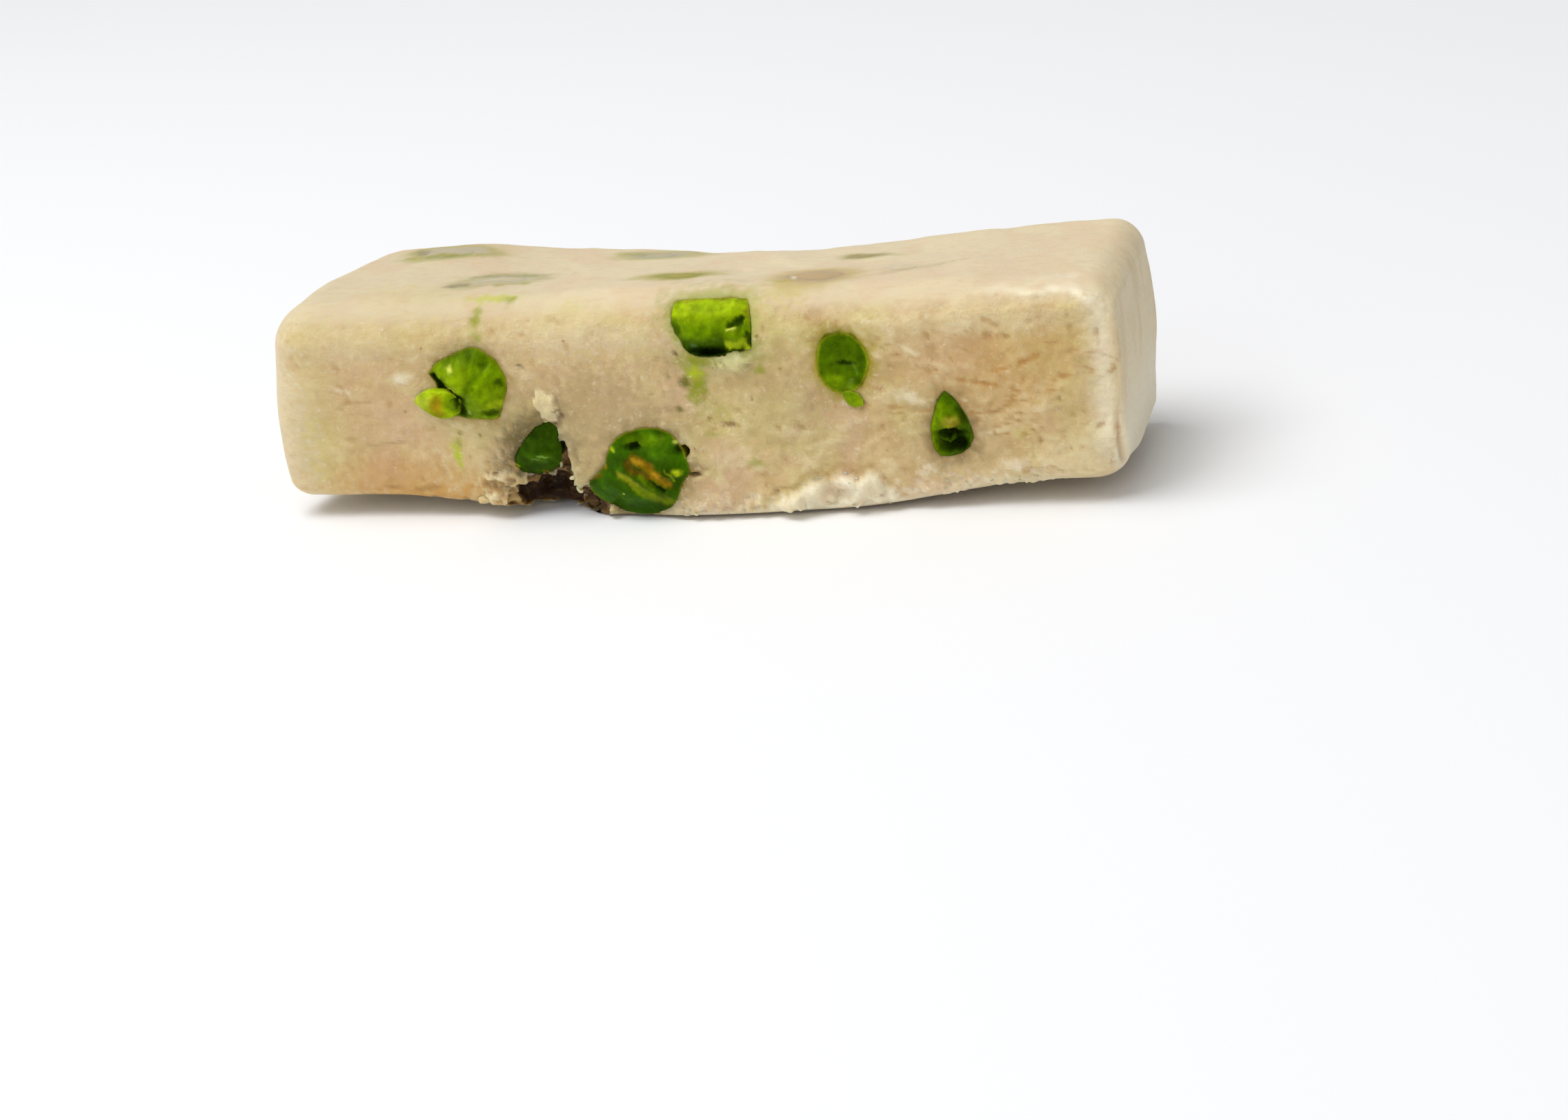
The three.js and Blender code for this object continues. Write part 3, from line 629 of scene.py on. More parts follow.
def nougat_bar():
    mesh = grid_block((LENGTH, DEPTH, HEIGHT), (GRID, GRID_ACROSS, GRID))
    block = points_of(mesh) * np.array([LENGTH, DEPTH, HEIGHT]) + np.array([0, 0, HEIGHT / 2])
    p = sag(round_edges(block))
    set_points(mesh, p)
    n = rows_of(mesh.vertex_normals, "vector")
    (x, y, z), (nx, ny, nz) = p.T, n.T
    front_face, back_face = smooth(-ny, 0.5, 0.9), smooth(ny, 0.5, 0.9)
    top_face, base_face = smooth(nz, 0.4, 0.9), smooth(-nz, 0.4, 0.9)
    left_end, right_end = smooth(-nx, 0.4, 0.9), smooth(nx, 0.45, 0.85)
    cut_face = clamp01(front_face + back_face)

    # Hand-pressed lumps, the broken grain of the cut faces, and the smoother skins
    coarse, fine = cloud(p, 3.6, 3, 2), cloud(p, 0.9, 3, 3)
    rough = cut_face * (0.6 + 0.4 * smooth(x, -10, 20))
    lift = 0.22 * cloud(p, 9, 2, 1) + rough * (0.28 * coarse + 0.10 * fine)
    lift += top_face * 0.10 * cloud(p, 5, 3, 4)
    lift += (left_end + right_end) * 0.05 * cloud(p, 3, 2, 5, (1, 1, 2))
    # Fissures that run along the bar, most of all towards its right end
    where = cut_face * (0.12 + 0.88 * smooth(x, 14, 30)) * smooth(z, 2, 6) * (1 - smooth(z, 20, 24))
    tilted = p + np.outer(x, [0, 0, -0.16])
    crack = clamp01(1 - np.abs(cloud(tilted, 4.2, 4, 6, (3, 1, 0.8))) * 11)
    creased = where * smooth(cloud(p, 6, 2, 7), 0, 0.4) * crack
    pits = rough * clamp01(cloud(p, 1.6, 2, 8) * 4 - 1.9)
    lift -= 0.16 * creased + 0.18 * pits
    # A torn lip and ragged foot, and a crumbly brow, along the front
    flaky = cloud(p, 2.3, 4, 12)
    folds = cloud(p, 3, 3, 14, (1.4, 1, 1))
    under = np.interp(x, *zip(*LIP)) - z + 0.6 * flaky
    lip = front_face * smooth(under, -0.1, 0.7)
    above_sole = z - END_LIFT * smooth(np.abs(x - CROWN_X), LIFT_FROM, LIFT_TO)
    foot = smooth(-ny, 0.2, 0.6) * (1 - smooth(above_sole + 2 * fine, 0.8, 3.4)) * smooth(x, -14, 4)
    foot *= 1 - smooth(x, 41, 46)
    lift += foot * (0.1 + (0.6 + 0.5 * bell(x, 4, 7)) * cloud(p, 1.1, 3, 9))
    lift += lip * (0.7 * bell(under, 1, 1.3) + 1.3 * folds)
    above_lip = front_face * bell(under, -0.5, 0.4)
    lift -= 0.15 * above_lip
    brow_z = 25.5 - 0.9 * smooth(x, 45.5, 49)
    brow = smooth(x, 32, 43) * (1 - smooth(x, 48.2, 49.2)) * smooth(-y, 7, 11)
    brow *= bell(z + 0.7 * folds, brow_z, 0.5)
    lift += brow * (0.15 + 0.4 * folds)
    # A clod pushed up beside the hollow at the foot, and a flake above it
    ragged = cloud(p, 1.7, 4, 13)
    clod = front_face * (1 - smooth(np.hypot((x + 24.3) / 2.7, (z - 3.9) / 2.8) + 0.6 * ragged, 0.75, 1.05))
    flake = front_face * (1 - smooth(near_line(x, z, [(-17.4, 14.6), (-16.9, 13)]) + 0.6 * fine, 1, 1.2))
    lift += clod * (0.8 + 1.3 * ragged + 0.3 * fine) + flake * (0.6 + 0.5 * ragged)
    # A groove that the knife left down the right end's front edge
    groove = bell(x, 50.2, 0.3) * smooth(-y, 9, 12) * smooth(z, 3, 5) * (1 - smooth(z, 8, 13))
    lift -= 0.5 * groove

    # Colour follows the form: painted light where it rises, painted shade, brown, where it goes in
    tint = blend(plain(CREAM, len(p)), PINK, 0.7 * smooth(cloud(p, 10, 2, 31), -0.05, 0.3))
    tint = blend(tint, YELLOW, 0.7 * smooth(cloud(p, 8, 3, 32), 0.05, 0.4))
    tint = blend(tint, LIGHT, rough * 0.5 * smooth(coarse + 0.4 * fine, 0.1, 0.6))
    tint = blend(tint, VALLEY, rough * 0.5 * smooth(-coarse - 0.4 * fine, 0.1, 0.6))
    skin = blend(plain(TOP_SKIN, len(p)), TOP_PINK, smooth(cloud(p, 8, 3, 33), 0, 0.3))
    tint = blend(tint, skin, 0.9 * top_face)
    tint = blend(tint, TOP_SKIN, 0.5 * (left_end + base_face))
    tint = tint * (1 - 0.08 * smooth(nz, 0.2, 0.7) * smooth(-x, 5, 35))[:, None]
    end_streaks = smooth(cloud(p, 2.6, 3, 34, (1, 1, 5)), -0.1, 0.4)
    tint = blend(tint, blend(plain(END_SKIN, len(p)), VALLEY, 0.25 * end_streaks), 0.95 * right_end)
    tint = blend(tint, TORN, 0.9 * right_end * (1 - smooth(z, 6, 16)))
    wet = np.zeros(len(p))
    for k in OPEN:
        stain(k, p, tint, wet)
    fuzz = cloud(p, 0.8, 3, 35)
    lift += lay_marks(FRONT_MARKS, x, z, smooth(-ny, 0.05, 0.5), fuzz, tint)
    lift += lay_marks(TOP_MARKS, x, y, smooth(nz, 0.3, 0.7), fuzz, tint)
    # A pale band down the front's right edge, a painted highlight on the rounded corner
    edge = bell(x, 49.2, 1.7) * smooth(-ny, 0.3, 0.7) * smooth(z, 2, 8)
    tint = blend(tint, TORN, 0.7 * edge)
    # Painted shade, brown, in the fissures and pits, in the crease above the lip and in the groove down the
    # right end
    tint = blend(tint, CREVICE_SHADE, clamp01(0.65 * creased + 0.4 * pits))
    tint = blend(tint, CREVICE_SHADE, clamp01(0.25 * above_lip + 0.5 * groove))
    # Torn nougat is whitened; along the lip it is brightest on the ridge and the raised folds, as painted
    # highlight
    torn = clamp01(0.9 * brow + lip * (0.55 + 0.45 * bell(under, 1, 1.2) + 0.6 * folds) + 0.6 * foot)
    tint = blend(tint, TORN, clamp01(torn * (0.85 + 0.3 * flaky)))
    # The clod is painted light on its lumps and painted shade between them
    tint = blend(tint, blend(plain(VALLEY, len(p)), LIGHT, smooth(ragged, -0.25, 0.25)), 0.75 * clod)
    tint = blend(tint, FLAKE, 0.9 * flake)

    rest = smooth(z, 0.3, 3)
    p = p + n * (lift * np.where(nz < -0.4, rest, 1))[:, None]
    p, deep, pale = scooped(p)
    tint = blend(tint, FLAKE, clamp01(pale))
    # Painted shade in the hollows: brown at their rims, near black deeper in
    tint = blend(tint, BROWN, smooth(deep, 0.1, 0.9))
    tint = blend(tint, CAVE_SHADE, smooth(deep, 0.5, 2.4))

    for k in OPEN + FLUSH:
        k.lay_on(p[::5])
    for k in OPEN:
        sink_pocket(k, p)
    for k in FLUSH:
        veil(k, p, tint)
    skin_like = top_face + 0.8 * (left_end + right_end) + base_face
    paint(mesh, "tint", tint)
    paint(mesh, "marks", np.stack([torn, wet, skin_like], -1))
    p[:, 2] = np.maximum(p[:, 2], 0)
    set_points(mesh, p - MIDDLE)
    place(mesh, "nougat_bar", nougat, "nougat")
    return p, tint, p[front_face > 0.3]


def near(k, p):
    """The points round a kernel, in its own frame, and how far each lies beyond its outline."""
    u, v, w = k.local(p).T
    close = np.where((np.hypot(u, v) < TOUCHED) & (np.abs(w) < TOUCHED_DEEP))[0]
    u, v, w = u[close], v[close], w[close]
    return close, u, v, w, np.hypot(u, v) - k.radius(u, v)


def stain(k, p, tint, wet):
    """Oil and colour that the kernel has given the nougat round it, and painted shade round it and its
    hollow.
    """
    close, *_, gap = near(k, p)
    beyond = np.maximum(gap, 0)
    fuzz = np.maximum(1 + 0.9 * cloud(p[close], 1.2, 3, k.seed), 0.3)
    tint[close] = blend(tint[close], OIL_AND_SHADE_TINT, clamp01(k.halo * np.exp(-(beyond / 2.6) ** 1.5) * fuzz))
    colour, strength, width = k.glow
    tint[close] = blend(tint[close], colour, clamp01(strength * np.exp(-(beyond / width / fuzz) ** 1.5)))
    wet[close] = np.maximum(wet[close], 0.7 * np.exp(-(beyond / 1.2) ** 2))


def sink_pocket(k, p):
    """Brings the nougat's points to the kernel's outline, and lets them down inside it."""
    close, u, v, w, gap = near(k, p)
    reach = k.radius(u, v)
    onto = np.where(np.abs(gap) < 0.5 * GRID, reach / np.maximum(reach + gap, 1e-6), 1)
    inside = smooth(-gap, 0.5 * GRID, 1.2 * GRID)
    level = np.abs(w - k.surface(u, v)) < 1.2
    w = lerp(w, k.surface(u, v), 0.9 * level * np.exp(-(np.maximum(gap, 0) / 0.8) ** 2))
    p[close] = k.world(np.stack([u * onto, v * onto, w - POCKET_DEPTH * inside], -1))


# What shows of each kernel under its film of nougat, by its seed: tint and strength of its core and its rim
VEILS = {
    21: ("#b0a78f", 0.75, "#9c9a48", 0.65), 22: ("#b5ae90", 0.6, "#908d58", 0.5),
    23: ("#a19c84", 0.7, "#a8a460", 0.6), 24: ("#8d8b32", 0.85, "#a8a258", 0.6),
    25: ("#b0966f", 0.85, "#bba765", 0.6), 26: ("#8b8246", 0.8, "#aca578", 0.6),
    27: ("#c3b596", 0.35, "#c3b795", 0.2), 28: ("#b09874", 0.7, "#b0a468", 0.5),
    29: ("#a49e70", 0.7, "#b3ab70", 0.5), 30: ("#9c984c", 0.7, "#b0aa70", 0.5),
}
# How far the stain reaches past the kernel, where it isn't 1.1 times as far
VEIL_REACH = {22: 0.95, 24: 1.3}
# Marks on the stains, laid as those on the faces
VEIL_MARKS = {
    21: [("#8f9036", [(-0.5, -1.6, 4.6, 0.6, 0.75, 2)]), ("#77725c", [(-4.2, 0.2, 1.2, 0.8, 0.6)])],
    22: [("#807a5e", [(-4.9, -1.9, 1.8, 0.6, 0.85, 14)]), ("#8f8f62", [(0.6, 1.5, 5.2, 0.45, 0.7, 6)])],
    23: [("#9a9858", [(-3.4, 0, 1.6, 0.8, 0.6)])],
    # On the fifth top kernel the small near-white streak is a painted highlight
    25: [("#f1e4cc", [(-2.3, -0.2, 0.2, 0.85, 0.9, 22)]), ("#b2a24e", [(-3.2, -1.9, 1.8, 0.8, 0.7, -10)])],
}


def veil(k, p, tint):
    """Stains the nougat's skin where a kernel shows through it."""
    u, v, w = k.local(p).T
    share = np.hypot(u, v) / (VEIL_REACH.get(k.seed, 1.1) * k.radius(u, v))
    close = np.where((share < 1.8) & (np.abs(w) < 2))[0]
    edge = share[close] + 0.2 * cloud(p[close], 1.6, 3, k.seed, (2, 1, 1))
    core, core_strength, rim, rim_strength = VEILS[k.seed]
    shade = blend(tint[close], rim, rim_strength * bell(edge, 0.85, 0.3))
    shade = blend(shade, core, core_strength * (1 - smooth(edge, 0.5, 0.95)))
    fuzz = cloud(p[close], 0.8, 2, 35)
    lay_marks(VEIL_MARKS.get(k.seed, []), u[close], v[close], np.ones(len(close)), fuzz, shade)
    tint[close] = shade


# Crumbs and shreds of nougat: middle, half size, turn about the bar's depth, tint
CLODS = [
    ((-26.6, -14, 2.2), (0.9, 0.4, 0.5), 10, CREAM), ((-15, -14.3, 4.9), (0.55, 0.2, 0.25), 20, FLAKE),
    ((-14.4, -14.4, 3.4), (0.3, 0.2, 0.5), 30, FLAKE),
]
# Where loose crumbs lie: a line along and up the front, how many, how far off it, their least and greatest
# half size, tint
CRUMB_LINES = [
    (LIP[1:-1], 8, 0.7, 0.12, 0.3, TORN), ([(-2, 0.9), (12, 0.8), (24, 1.8)], 12, 0.4, 0.12, 0.25, FLAKE),
    ([(26, 2.6), (34, 3), (42, 3.4)], 8, 0.3, 0.12, 0.25, FLAKE),
]


def crumbs(front_points):
    """Crumbs torn up by the knife, along the lip and the foot."""
    pieces = [(at, size, turn, colour, 4) for at, size, turn, colour in CLODS]
    for line, count, spread, low, high, colour in CRUMB_LINES:
        steps = list(zip(line, line[1:]))
        for _ in range(count):
            (ax, az), (bx, bz) = rng.choice(steps)
            t = rng.random()
            x = lerp(ax, bx, t) + rng.gauss(0, 0.3)
            z = lerp(az, bz, t) + rng.gauss(0, spread)
            at = front_points[np.argmin(np.hypot(front_points[:, 0] - x, front_points[:, 2] - z))]
            r = lerp(low, high, rng.random() ** 2)
            size = (r * rng.uniform(1, 1.9), r * 0.45, r * rng.uniform(0.6, 1))
            pieces.append((at, size, rng.uniform(-25, 25), colour, 3))
    bm = bmesh.new()
    counts = []
    for *_, fineness in pieces:
        before = len(bm.verts)
        bmesh.ops.create_icosphere(bm, subdivisions=fineness, radius=1.0)
        counts.append((before, len(bm.verts)))
    mesh = mesh_of(bm, "torn_crumbs")
    p = points_of(mesh)
    tint = np.zeros_like(p)
    for seed, ((at, size, turn, colour, _), (first, end)) in enumerate(zip(pieces, counts)):
        s = p[first:end]
        bumps = cloud(s, 0.9, 3, seed + 60)
        s = s * (1 + 0.3 * bumps)[:, None] * np.array(size)
        across, up = turned(s[:, 0], s[:, 2], -turn)
        p[first:end] = np.stack([across, s[:, 1], up], -1) + np.array(at)
        # Painted shade in each crumb's dips
        tint[first:end] = blend(plain(colour, end - first), VALLEY, 0.5 * smooth(-bumps, 0, 0.5))
    p[:, 2] = np.maximum(p[:, 2], 0.05)
    set_points(mesh, p - MIDDLE)
    paint(mesh, "tint", tint)
    paint(mesh, "marks", (0.6, 0.3, 0))
    place(mesh, "torn_crumbs", nougat)


# Kernels

# The near black green is painted shade in the kernels' slits, cracks, holes and hollows
SHADE_BLACK_GREEN, LEAF_DARK, LEAF_DEEP, LEAF = "#0e1a02", "#223802", "#436002", "#6b8a03"
LEAF_MID, LEAF_BRIGHT, LIME, PALE_LIME = "#7f9c05", "#9fb90c", "#b6c81c", "#d2da5c"
HEART, NUT_BROWN, OLIVE = "#a87812", "#6e4c0c", "#8d861c"


class Face:
    """A kernel's shown face, in millimetres along it and up it: its colour and its relief."""

    def __init__(self, k, u, v, share):
        flat = np.stack([u, v, np.zeros(len(u))], -1)
        self.k, self.share, self.flat = k, share, flat
        self.u = u + 0.25 * cloud(flat, 0.9, 3, k.seed + 10)
        self.v = v + 0.25 * cloud(flat, 0.9, 3, k.seed + 20)
        self.raised = 0.10 * cloud(flat, 1.6, 3, k.seed) + 0.04 * cloud(flat, 0.5, 2, k.seed + 1)
        self.fill(LEAF)

    def fill(self, colour):
        self.tint = plain(colour, len(self.share))

    def wash(self, colour, amount):
        self.tint = blend(self.tint, colour, amount)

    def mark(self, colour, far, strength, rise):
        amount = np.exp(-far ** 3)
        self.wash(colour, strength * amount)
        self.raised = self.raised + rise * amount

    def dab(self, colour, *marks):
        """Colours and raises soft-edged ellipses, each given like a mark on the nougat."""
        for mark in marks:
            self.mark(colour, *far_from(mark, self.u, self.v))

    def stroke(self, colour, line, width, strength, rise=0):
        """Colours and raises a soft-edged line."""
        self.mark(colour, near_line(self.u, self.v, line) / width, strength, rise)

    def rim(self, colour, start=0.93, strength=0.6):
        self.wash(colour, strength * smooth(self.share, start, 1))


def kernel_piece(k, finish, fineness, replaced=True):
    """Draws a ball out to the kernel's outline, and cuts it off where its face shows."""
    bm = bmesh.new()
    bmesh.ops.create_icosphere(bm, subdivisions=fineness, radius=1.0)
    mesh = mesh_of(bm, k.name + "_nut")
    ball_u, ball_v, ball_w = points_of(mesh).T
    across = np.hypot(ball_u, ball_v)
    turn_u, turn_v = (part / np.maximum(across, 1e-9) for part in (ball_u, ball_v))
    share = across ** k.blunt
    reach = share * k.radius(turn_u, turn_v) * (SNUG if replaced else 1)
    u, v = turn_u * reach, turn_v * reach
    face = Face(k, u, v, share)
    finish(face)
    if not k.flush:
        face.tint = face.tint * (1 + 0.35 * cloud(face.flat, 1.1, 3, k.seed + 30))[:, None]
    relief = 0 if k.flush else face.raised * smooth(1 - share, 0, 0.22)
    cut = k.cap - k.bow * share ** 2 + k.surface(u, v) + relief
    w = np.sign(ball_w) * np.abs(ball_w) ** KERNEL_BELLY * k.half[2]
    w = np.where(w > 0, np.minimum(w, np.maximum(cut, -k.half[2] * 0.8)), w)
    p = k.world(np.stack([u, v, w - k.sunk], -1)) - MIDDLE
    p[:, 2] = np.maximum(p[:, 2], 0)
    set_points(mesh, p)
    paint(mesh, "tint", face.tint)
    material, slot = (veiled, "kernel_skin") if k.flush else (flesh, "kernel_flesh")
    if k.flush:
        paint(mesh, "marks", (0, 0, 1))
    place(mesh, k.name + "_nut", material, k.name if replaced else None)


def domed_face(f):
    f.dab(LEAF_DEEP, (0.2, 3.6, 3.4, 1.4, 0.8))
    f.dab(LEAF_BRIGHT, (-1.3, 0.3, 1.5, 2.4, 0.5, -20, 0.25), (-3.3, 1.6, 1, 0.8, 0.4, 0, 0.2))
    f.dab(LEAF_MID, (2, -1.2, 1.8, 2.8, 0.7, 0, 0.2))
    f.dab(LIME, (3, -2.6, 0.9, 0.7, 0.6))
    f.dab(LEAF_DARK, (2.4, -3.6, 1.3, 0.5, 0.85, 0, -0.5), (3.8, 0.1, 0.5, 0.6, 0.8, 0, -0.25),
          (2.2, 2.1, 0.7, 0.5, 0.6, 40, -0.2))
    f.stroke(LEAF_DEEP, [(2.3, 2.7), (2, 1.8), (0.9, 0.7), (-0.1, -0.5), (-0.8, -1.6), (-1.1, -2.5),
                         (-1.2, -4.2)], 0.5, 0.5, -0.1)
    # Painted shade down the slit between the lobe and the flap, near black in it and at its foot
    f.stroke(LEAF_DARK, [(-4.8, 0.9), (-4, 0.1), (-2.5, -1), (-1.2, -1.9), (-1.3, -3.6)], 1, 0.7, -0.3)
    f.stroke(SHADE_BLACK_GREEN, [(-4.7, 0.8), (-4, -0.1), (-3.3, -0.8), (-2.4, -1.2), (-1.4, -1.7)], 0.6, 0.95,
             -0.8)
    f.dab(SHADE_BLACK_GREEN, (-1.5, -3, 0.5, 1.2, 0.8, 0, -0.4))
    # Painted highlights
    f.dab(PALE_LIME, (-2, 1.9, 0.34, 0.4, 0.95, 20, 0.1), (-2.1, -0.35, 0.5, 0.15, 0.6, -20),
          (-0.4, -3.4, 0.25, 0.35, 0.6))
    f.rim(OLIVE, 0.93, 0.5)


def flap_face(f):
    f.fill(LEAF_BRIGHT)
    f.dab("#b5c436", (-2.3, 0.5, 1.5, 1.1, 0.9))
    f.dab(HEART, (-0.5, -0.1, 0.9, 1.3, 0.75, -15))
    f.dab(NUT_BROWN, (-0.1, -1.2, 0.7, 0.5, 0.5))
    f.dab(LEAF, (1.6, 0.1, 1.2, 1.2, 0.9))
    f.dab(LEAF_DARK, (2.6, -0.6, 0.8, 0.8, 0.8))
    f.stroke(LIME, [(-0.6, 1.6), (0.8, 1.5), (2.4, 0.9)], 0.2, 0.6, 0.1)


def sunken_face(f):
    f.fill("#2d4a03")
    # Painted shade over its top, which lies under the nougat's rim
    f.dab(LEAF_DARK, (0.4, 2.5, 1.8, 1, 0.85))
    f.dab("#48700a", (0.4, -0.7, 1.8, 0.6, 0.6, -8, 0.2))
    # Painted sheen in thin pale streaks
    f.dab("#84a04a", (0.8, -0.6, 0.9, 0.14, 0.7, -8, 0.05), (-0.2, -1.05, 0.5, 0.12, 0.6, -8))
    f.dab(HEART, (0.8, -2.7, 0.3, 0.16, 0.8))
    f.dab(LIME, (-2.7, -1.9, 0.35, 0.25, 0.7))
    f.dab(LEAF_DARK, (-0.6, -2.2, 2, 0.5, 0.5))
    f.rim(LEAF_DARK, 0.9, 0.5)


def broken_face(f):
    f.fill("#2b4a02")
    f.wash("#3a6403", 0.5 + cloud(f.flat, 2.2, 2, 3.3))
    f.dab("#4a7408", (3, 3.4, 1.8, 1.3, 0.8, -20, 0.4))
    f.dab("#3d6806", (-1.6, -1.9, 2.4, 0.8, 0.5, -12, 0.2))
    f.dab(LEAF, (1, 4.6, 2.6, 0.7, 0.5))
    f.dab(LEAF_DARK, (-3.6, 1.4, 1.6, 0.9, 0.5, 30))
    f.dab("#254203", (0, -4.2, 4.4, 1.2, 0.6, 0, -0.2))
    f.stroke(NUT_BROWN, [(-1.3, 1.9), (-0.9, 1), (0.4, 0.6), (1.3, 0.2)], 0.5, 0.7, -0.25)
    f.stroke(HEART, [(-0.5, 2.4), (0.6, 1.9), (1.5, 1.3), (2.1, 0.1), (3.3, -0.8)], 0.55, 0.65, -0.2)
    f.dab("#c09020", (-0.1, 2.1, 0.8, 0.4, 0.75, -20, 0.15))
    f.dab("#cf9a24", (2.2, 0.4, 0.5, 0.35, 0.5, -50, 0.1))
    f.stroke("#98981e", [(-2.4, 0.4), (-1.3, -0.2), (-0.6, -0.9)], 0.4, 0.8, -0.1)
    f.stroke("#7f9012", [(-0.4, -1.1), (0.3, -1.8), (1.7, -2.6), (3.2, -3.1)], 0.6, 0.7, -0.1)
    # Painted shade in a crack
    f.stroke(SHADE_BLACK_GREEN, [(1.2, -0.5), (2.7, -1.7)], 0.3, 0.85, -0.35)
    f.stroke(LEAF, [(0.2, 0.1), (1.4, -1.2)], 0.4, 0.6)
    # Painted shade, near black, in two holes
    f.dab(SHADE_BLACK_GREEN, (-0.3, 3.8, 0.85, 0.42, 0.95, 0, -0.8), (5.3, 3.5, 0.8, 0.7, 0.95, 0, -0.9))
    # A painted highlight
    f.dab(PALE_LIME, (4.9, 4.2, 0.35, 0.3, 0.8))
    f.dab(LIME, (-3.1, 3.4, 0.35, 0.4, 0.8), (4.7, 0.6, 0.6, 0.4, 1, 0, 0.12))
    f.stroke(LIME, [(3.2, 1), (4, 0.1), (4.3, -0.4)], 0.16, 0.35)
    # A painted highlight
    f.dab(PALE_LIME, (-2.2, -2, 0.2, 0.18, 0.8))
    f.dab(NUT_BROWN, (-5.4, 0, 0.7, 0.35, 0.7, 30))
    f.dab(HEART, (-4.4, 1.4, 0.35, 0.5, 0.5, 30))
    f.rim(OLIVE, 0.95, 0.5)


def barrel_face(f):
    # Darker towards the underside and lighter over the top: painted shade and painted light on its round
    # side
    f.fill(LEAF_DARK)
    f.wash(LEAF_DEEP, smooth(f.v, -3.2, -1.9))
    f.wash(LEAF, smooth(f.v, -2.3, -0.9))
    f.wash(LEAF_BRIGHT, 0.85 * smooth(f.v, -0.7, 1.5))
    f.raised = f.raised - 1.5 * smooth(-f.v, 1.6, 3.6) + 0.15 * bell(f.v, 1.4, 0.9)
    # Painted highlights on its top
    f.dab(LIME, (-3, 1.9, 1.4, 0.9, 0.3), (1.9, 2.3, 1.4, 0.7, 0.3))
    f.dab(LEAF_DARK, (-4.7, -0.4, 0.7, 1.3, 0.85, 20, -0.3))
    # Painted shadow, near black, along its underside
    f.dab(SHADE_BLACK_GREEN, (-0.9, -3.2, 2, 0.55, 1, 0, -0.5))
    f.dab(LEAF_DARK, (-2.6, -3, 0.9, 0.5, 0.7))
    # A painted highlight, greyish, low at the left
    f.dab("#6f9450", (-2.5, -2.4, 0.5, 0.2, 0.5))
    f.dab(LEAF_DARK, (1, -1.6, 0.7, 0.9, 0.5))
    # Painted shade in the hole at the right
    f.stroke("#2f4a05", [(2.2, -0.25), (2.8, 0.1), (3.3, 0.6)], 0.38, 0.95, -0.5)
    f.dab(LEAF_DARK, (3.25, 0, 0.4, 0.5, 0.8, 0, -0.3))
    f.stroke(PALE_LIME, [(1.9, -0.8), (2.7, -0.7)], 0.25, 0.7, 0.12)
    f.dab(LEAF_MID, (2.6, -1.6, 0.9, 0.6, 0.8))
    f.stroke(LIME, [(1.7, -2.5), (2.9, -2.6), (3.6, -2.2), (4, -2.9)], 0.45, 0.8, 0.25)
    # Painted shade in a slit at the right
    f.stroke(LEAF_DARK, [(4.1, -1.2), (4.2, -2.2)], 0.3, 0.85, -0.5)
    f.dab(OLIVE, (4.2, 1.5, 0.5, 1.4, 0.7))
    f.stroke(OLIVE, [(-4.4, 2.85), (-1, 3.05), (3.8, 2.9)], 0.25, 0.8, -0.1)


def oval_face(f):
    f.fill("#4c6902")
    f.dab(LEAF_DEEP, (-0.6, 1.8, 2.2, 1.2, 0.7))
    f.dab(LEAF_MID, (-1.1, -2.1, 1.3, 0.8, 0.75, -15, 0.1), (0.2, -2.9, 1.2, 0.5, 0.4))
    # Painted shade in the dark seam across its middle
    f.dab(LEAF_DARK, (0.5, -0.05, 1, 0.3, 0.9, -3, -0.3))
    f.dab(SHADE_BLACK_GREEN, (-0.2, 0, 0.3, 0.2, 0.6, 0, -0.1))
    f.stroke("#7ba03a", [(1.2, -0.2), (1.8, -1.2)], 0.2, 0.25)
    f.stroke("#7ba03a", [(1.1, -2), (0.4, -2.8)], 0.2, 0.25)
    f.dab(LEAF_DARK, (2.2, 0.6, 0.5, 1.6, 0.5))
    f.rim("#8a9018", 0.86, 0.9)


def chip_face(f):
    f.fill("#74920a")
    f.dab(LEAF_BRIGHT, (0.3, -0.2, 0.8, 0.5, 0.3))
    f.rim("#9aa52a", 0.8, 0.7)


def hollow_face(f):
    f.fill("#4f7002")
    f.wash(LEAF_MID, 0.8 * smooth(-f.u, 0.8, 2))
    f.dab(LEAF_DEEP, (0.2, 3.4, 1.2, 1.4, 0.7))
    f.dab(LEAF_DARK, (1.7, 1.2, 0.55, 1.6, 0.9, 25, -0.4))
    f.dab(LEAF_MID, (-0.6, 1.8, 0.7, 1.2, 0.6, 0, 0.2))
    # Painted shade deepening into the hollow, near black at its depths
    f.dab(LEAF_DARK, (0.1, -1.9, 1.9, 1.5, 1, 0, -1.3))
    f.dab(SHADE_BLACK_GREEN, (0.2, -0.8, 1.9, 0.5, 0.9, 0, -0.5), (1, -2.5, 1.1, 0.6, 0.95, 0, -0.3),
          (0.2, -1.9, 1.6, 1.4, 0.75))
    f.stroke(LEAF_DEEP, [(-1.1, -1.3), (-0.3, -2.1), (0.3, -1.3)], 0.3, 0.6, 0.5)
    f.dab("#a39a24", (0.2, 0.55, 1.1, 0.75, 0.9, 0, 0.3))
    f.dab("#bdb04a", (0.2, 0.75, 0.5, 0.3, 0.6, 0, 0.1))
    f.dab(HEART, (0.7, 0.3, 0.3, 0.25, 0.6))
    f.rim(LEAF_DARK, 0.92, 0.5)


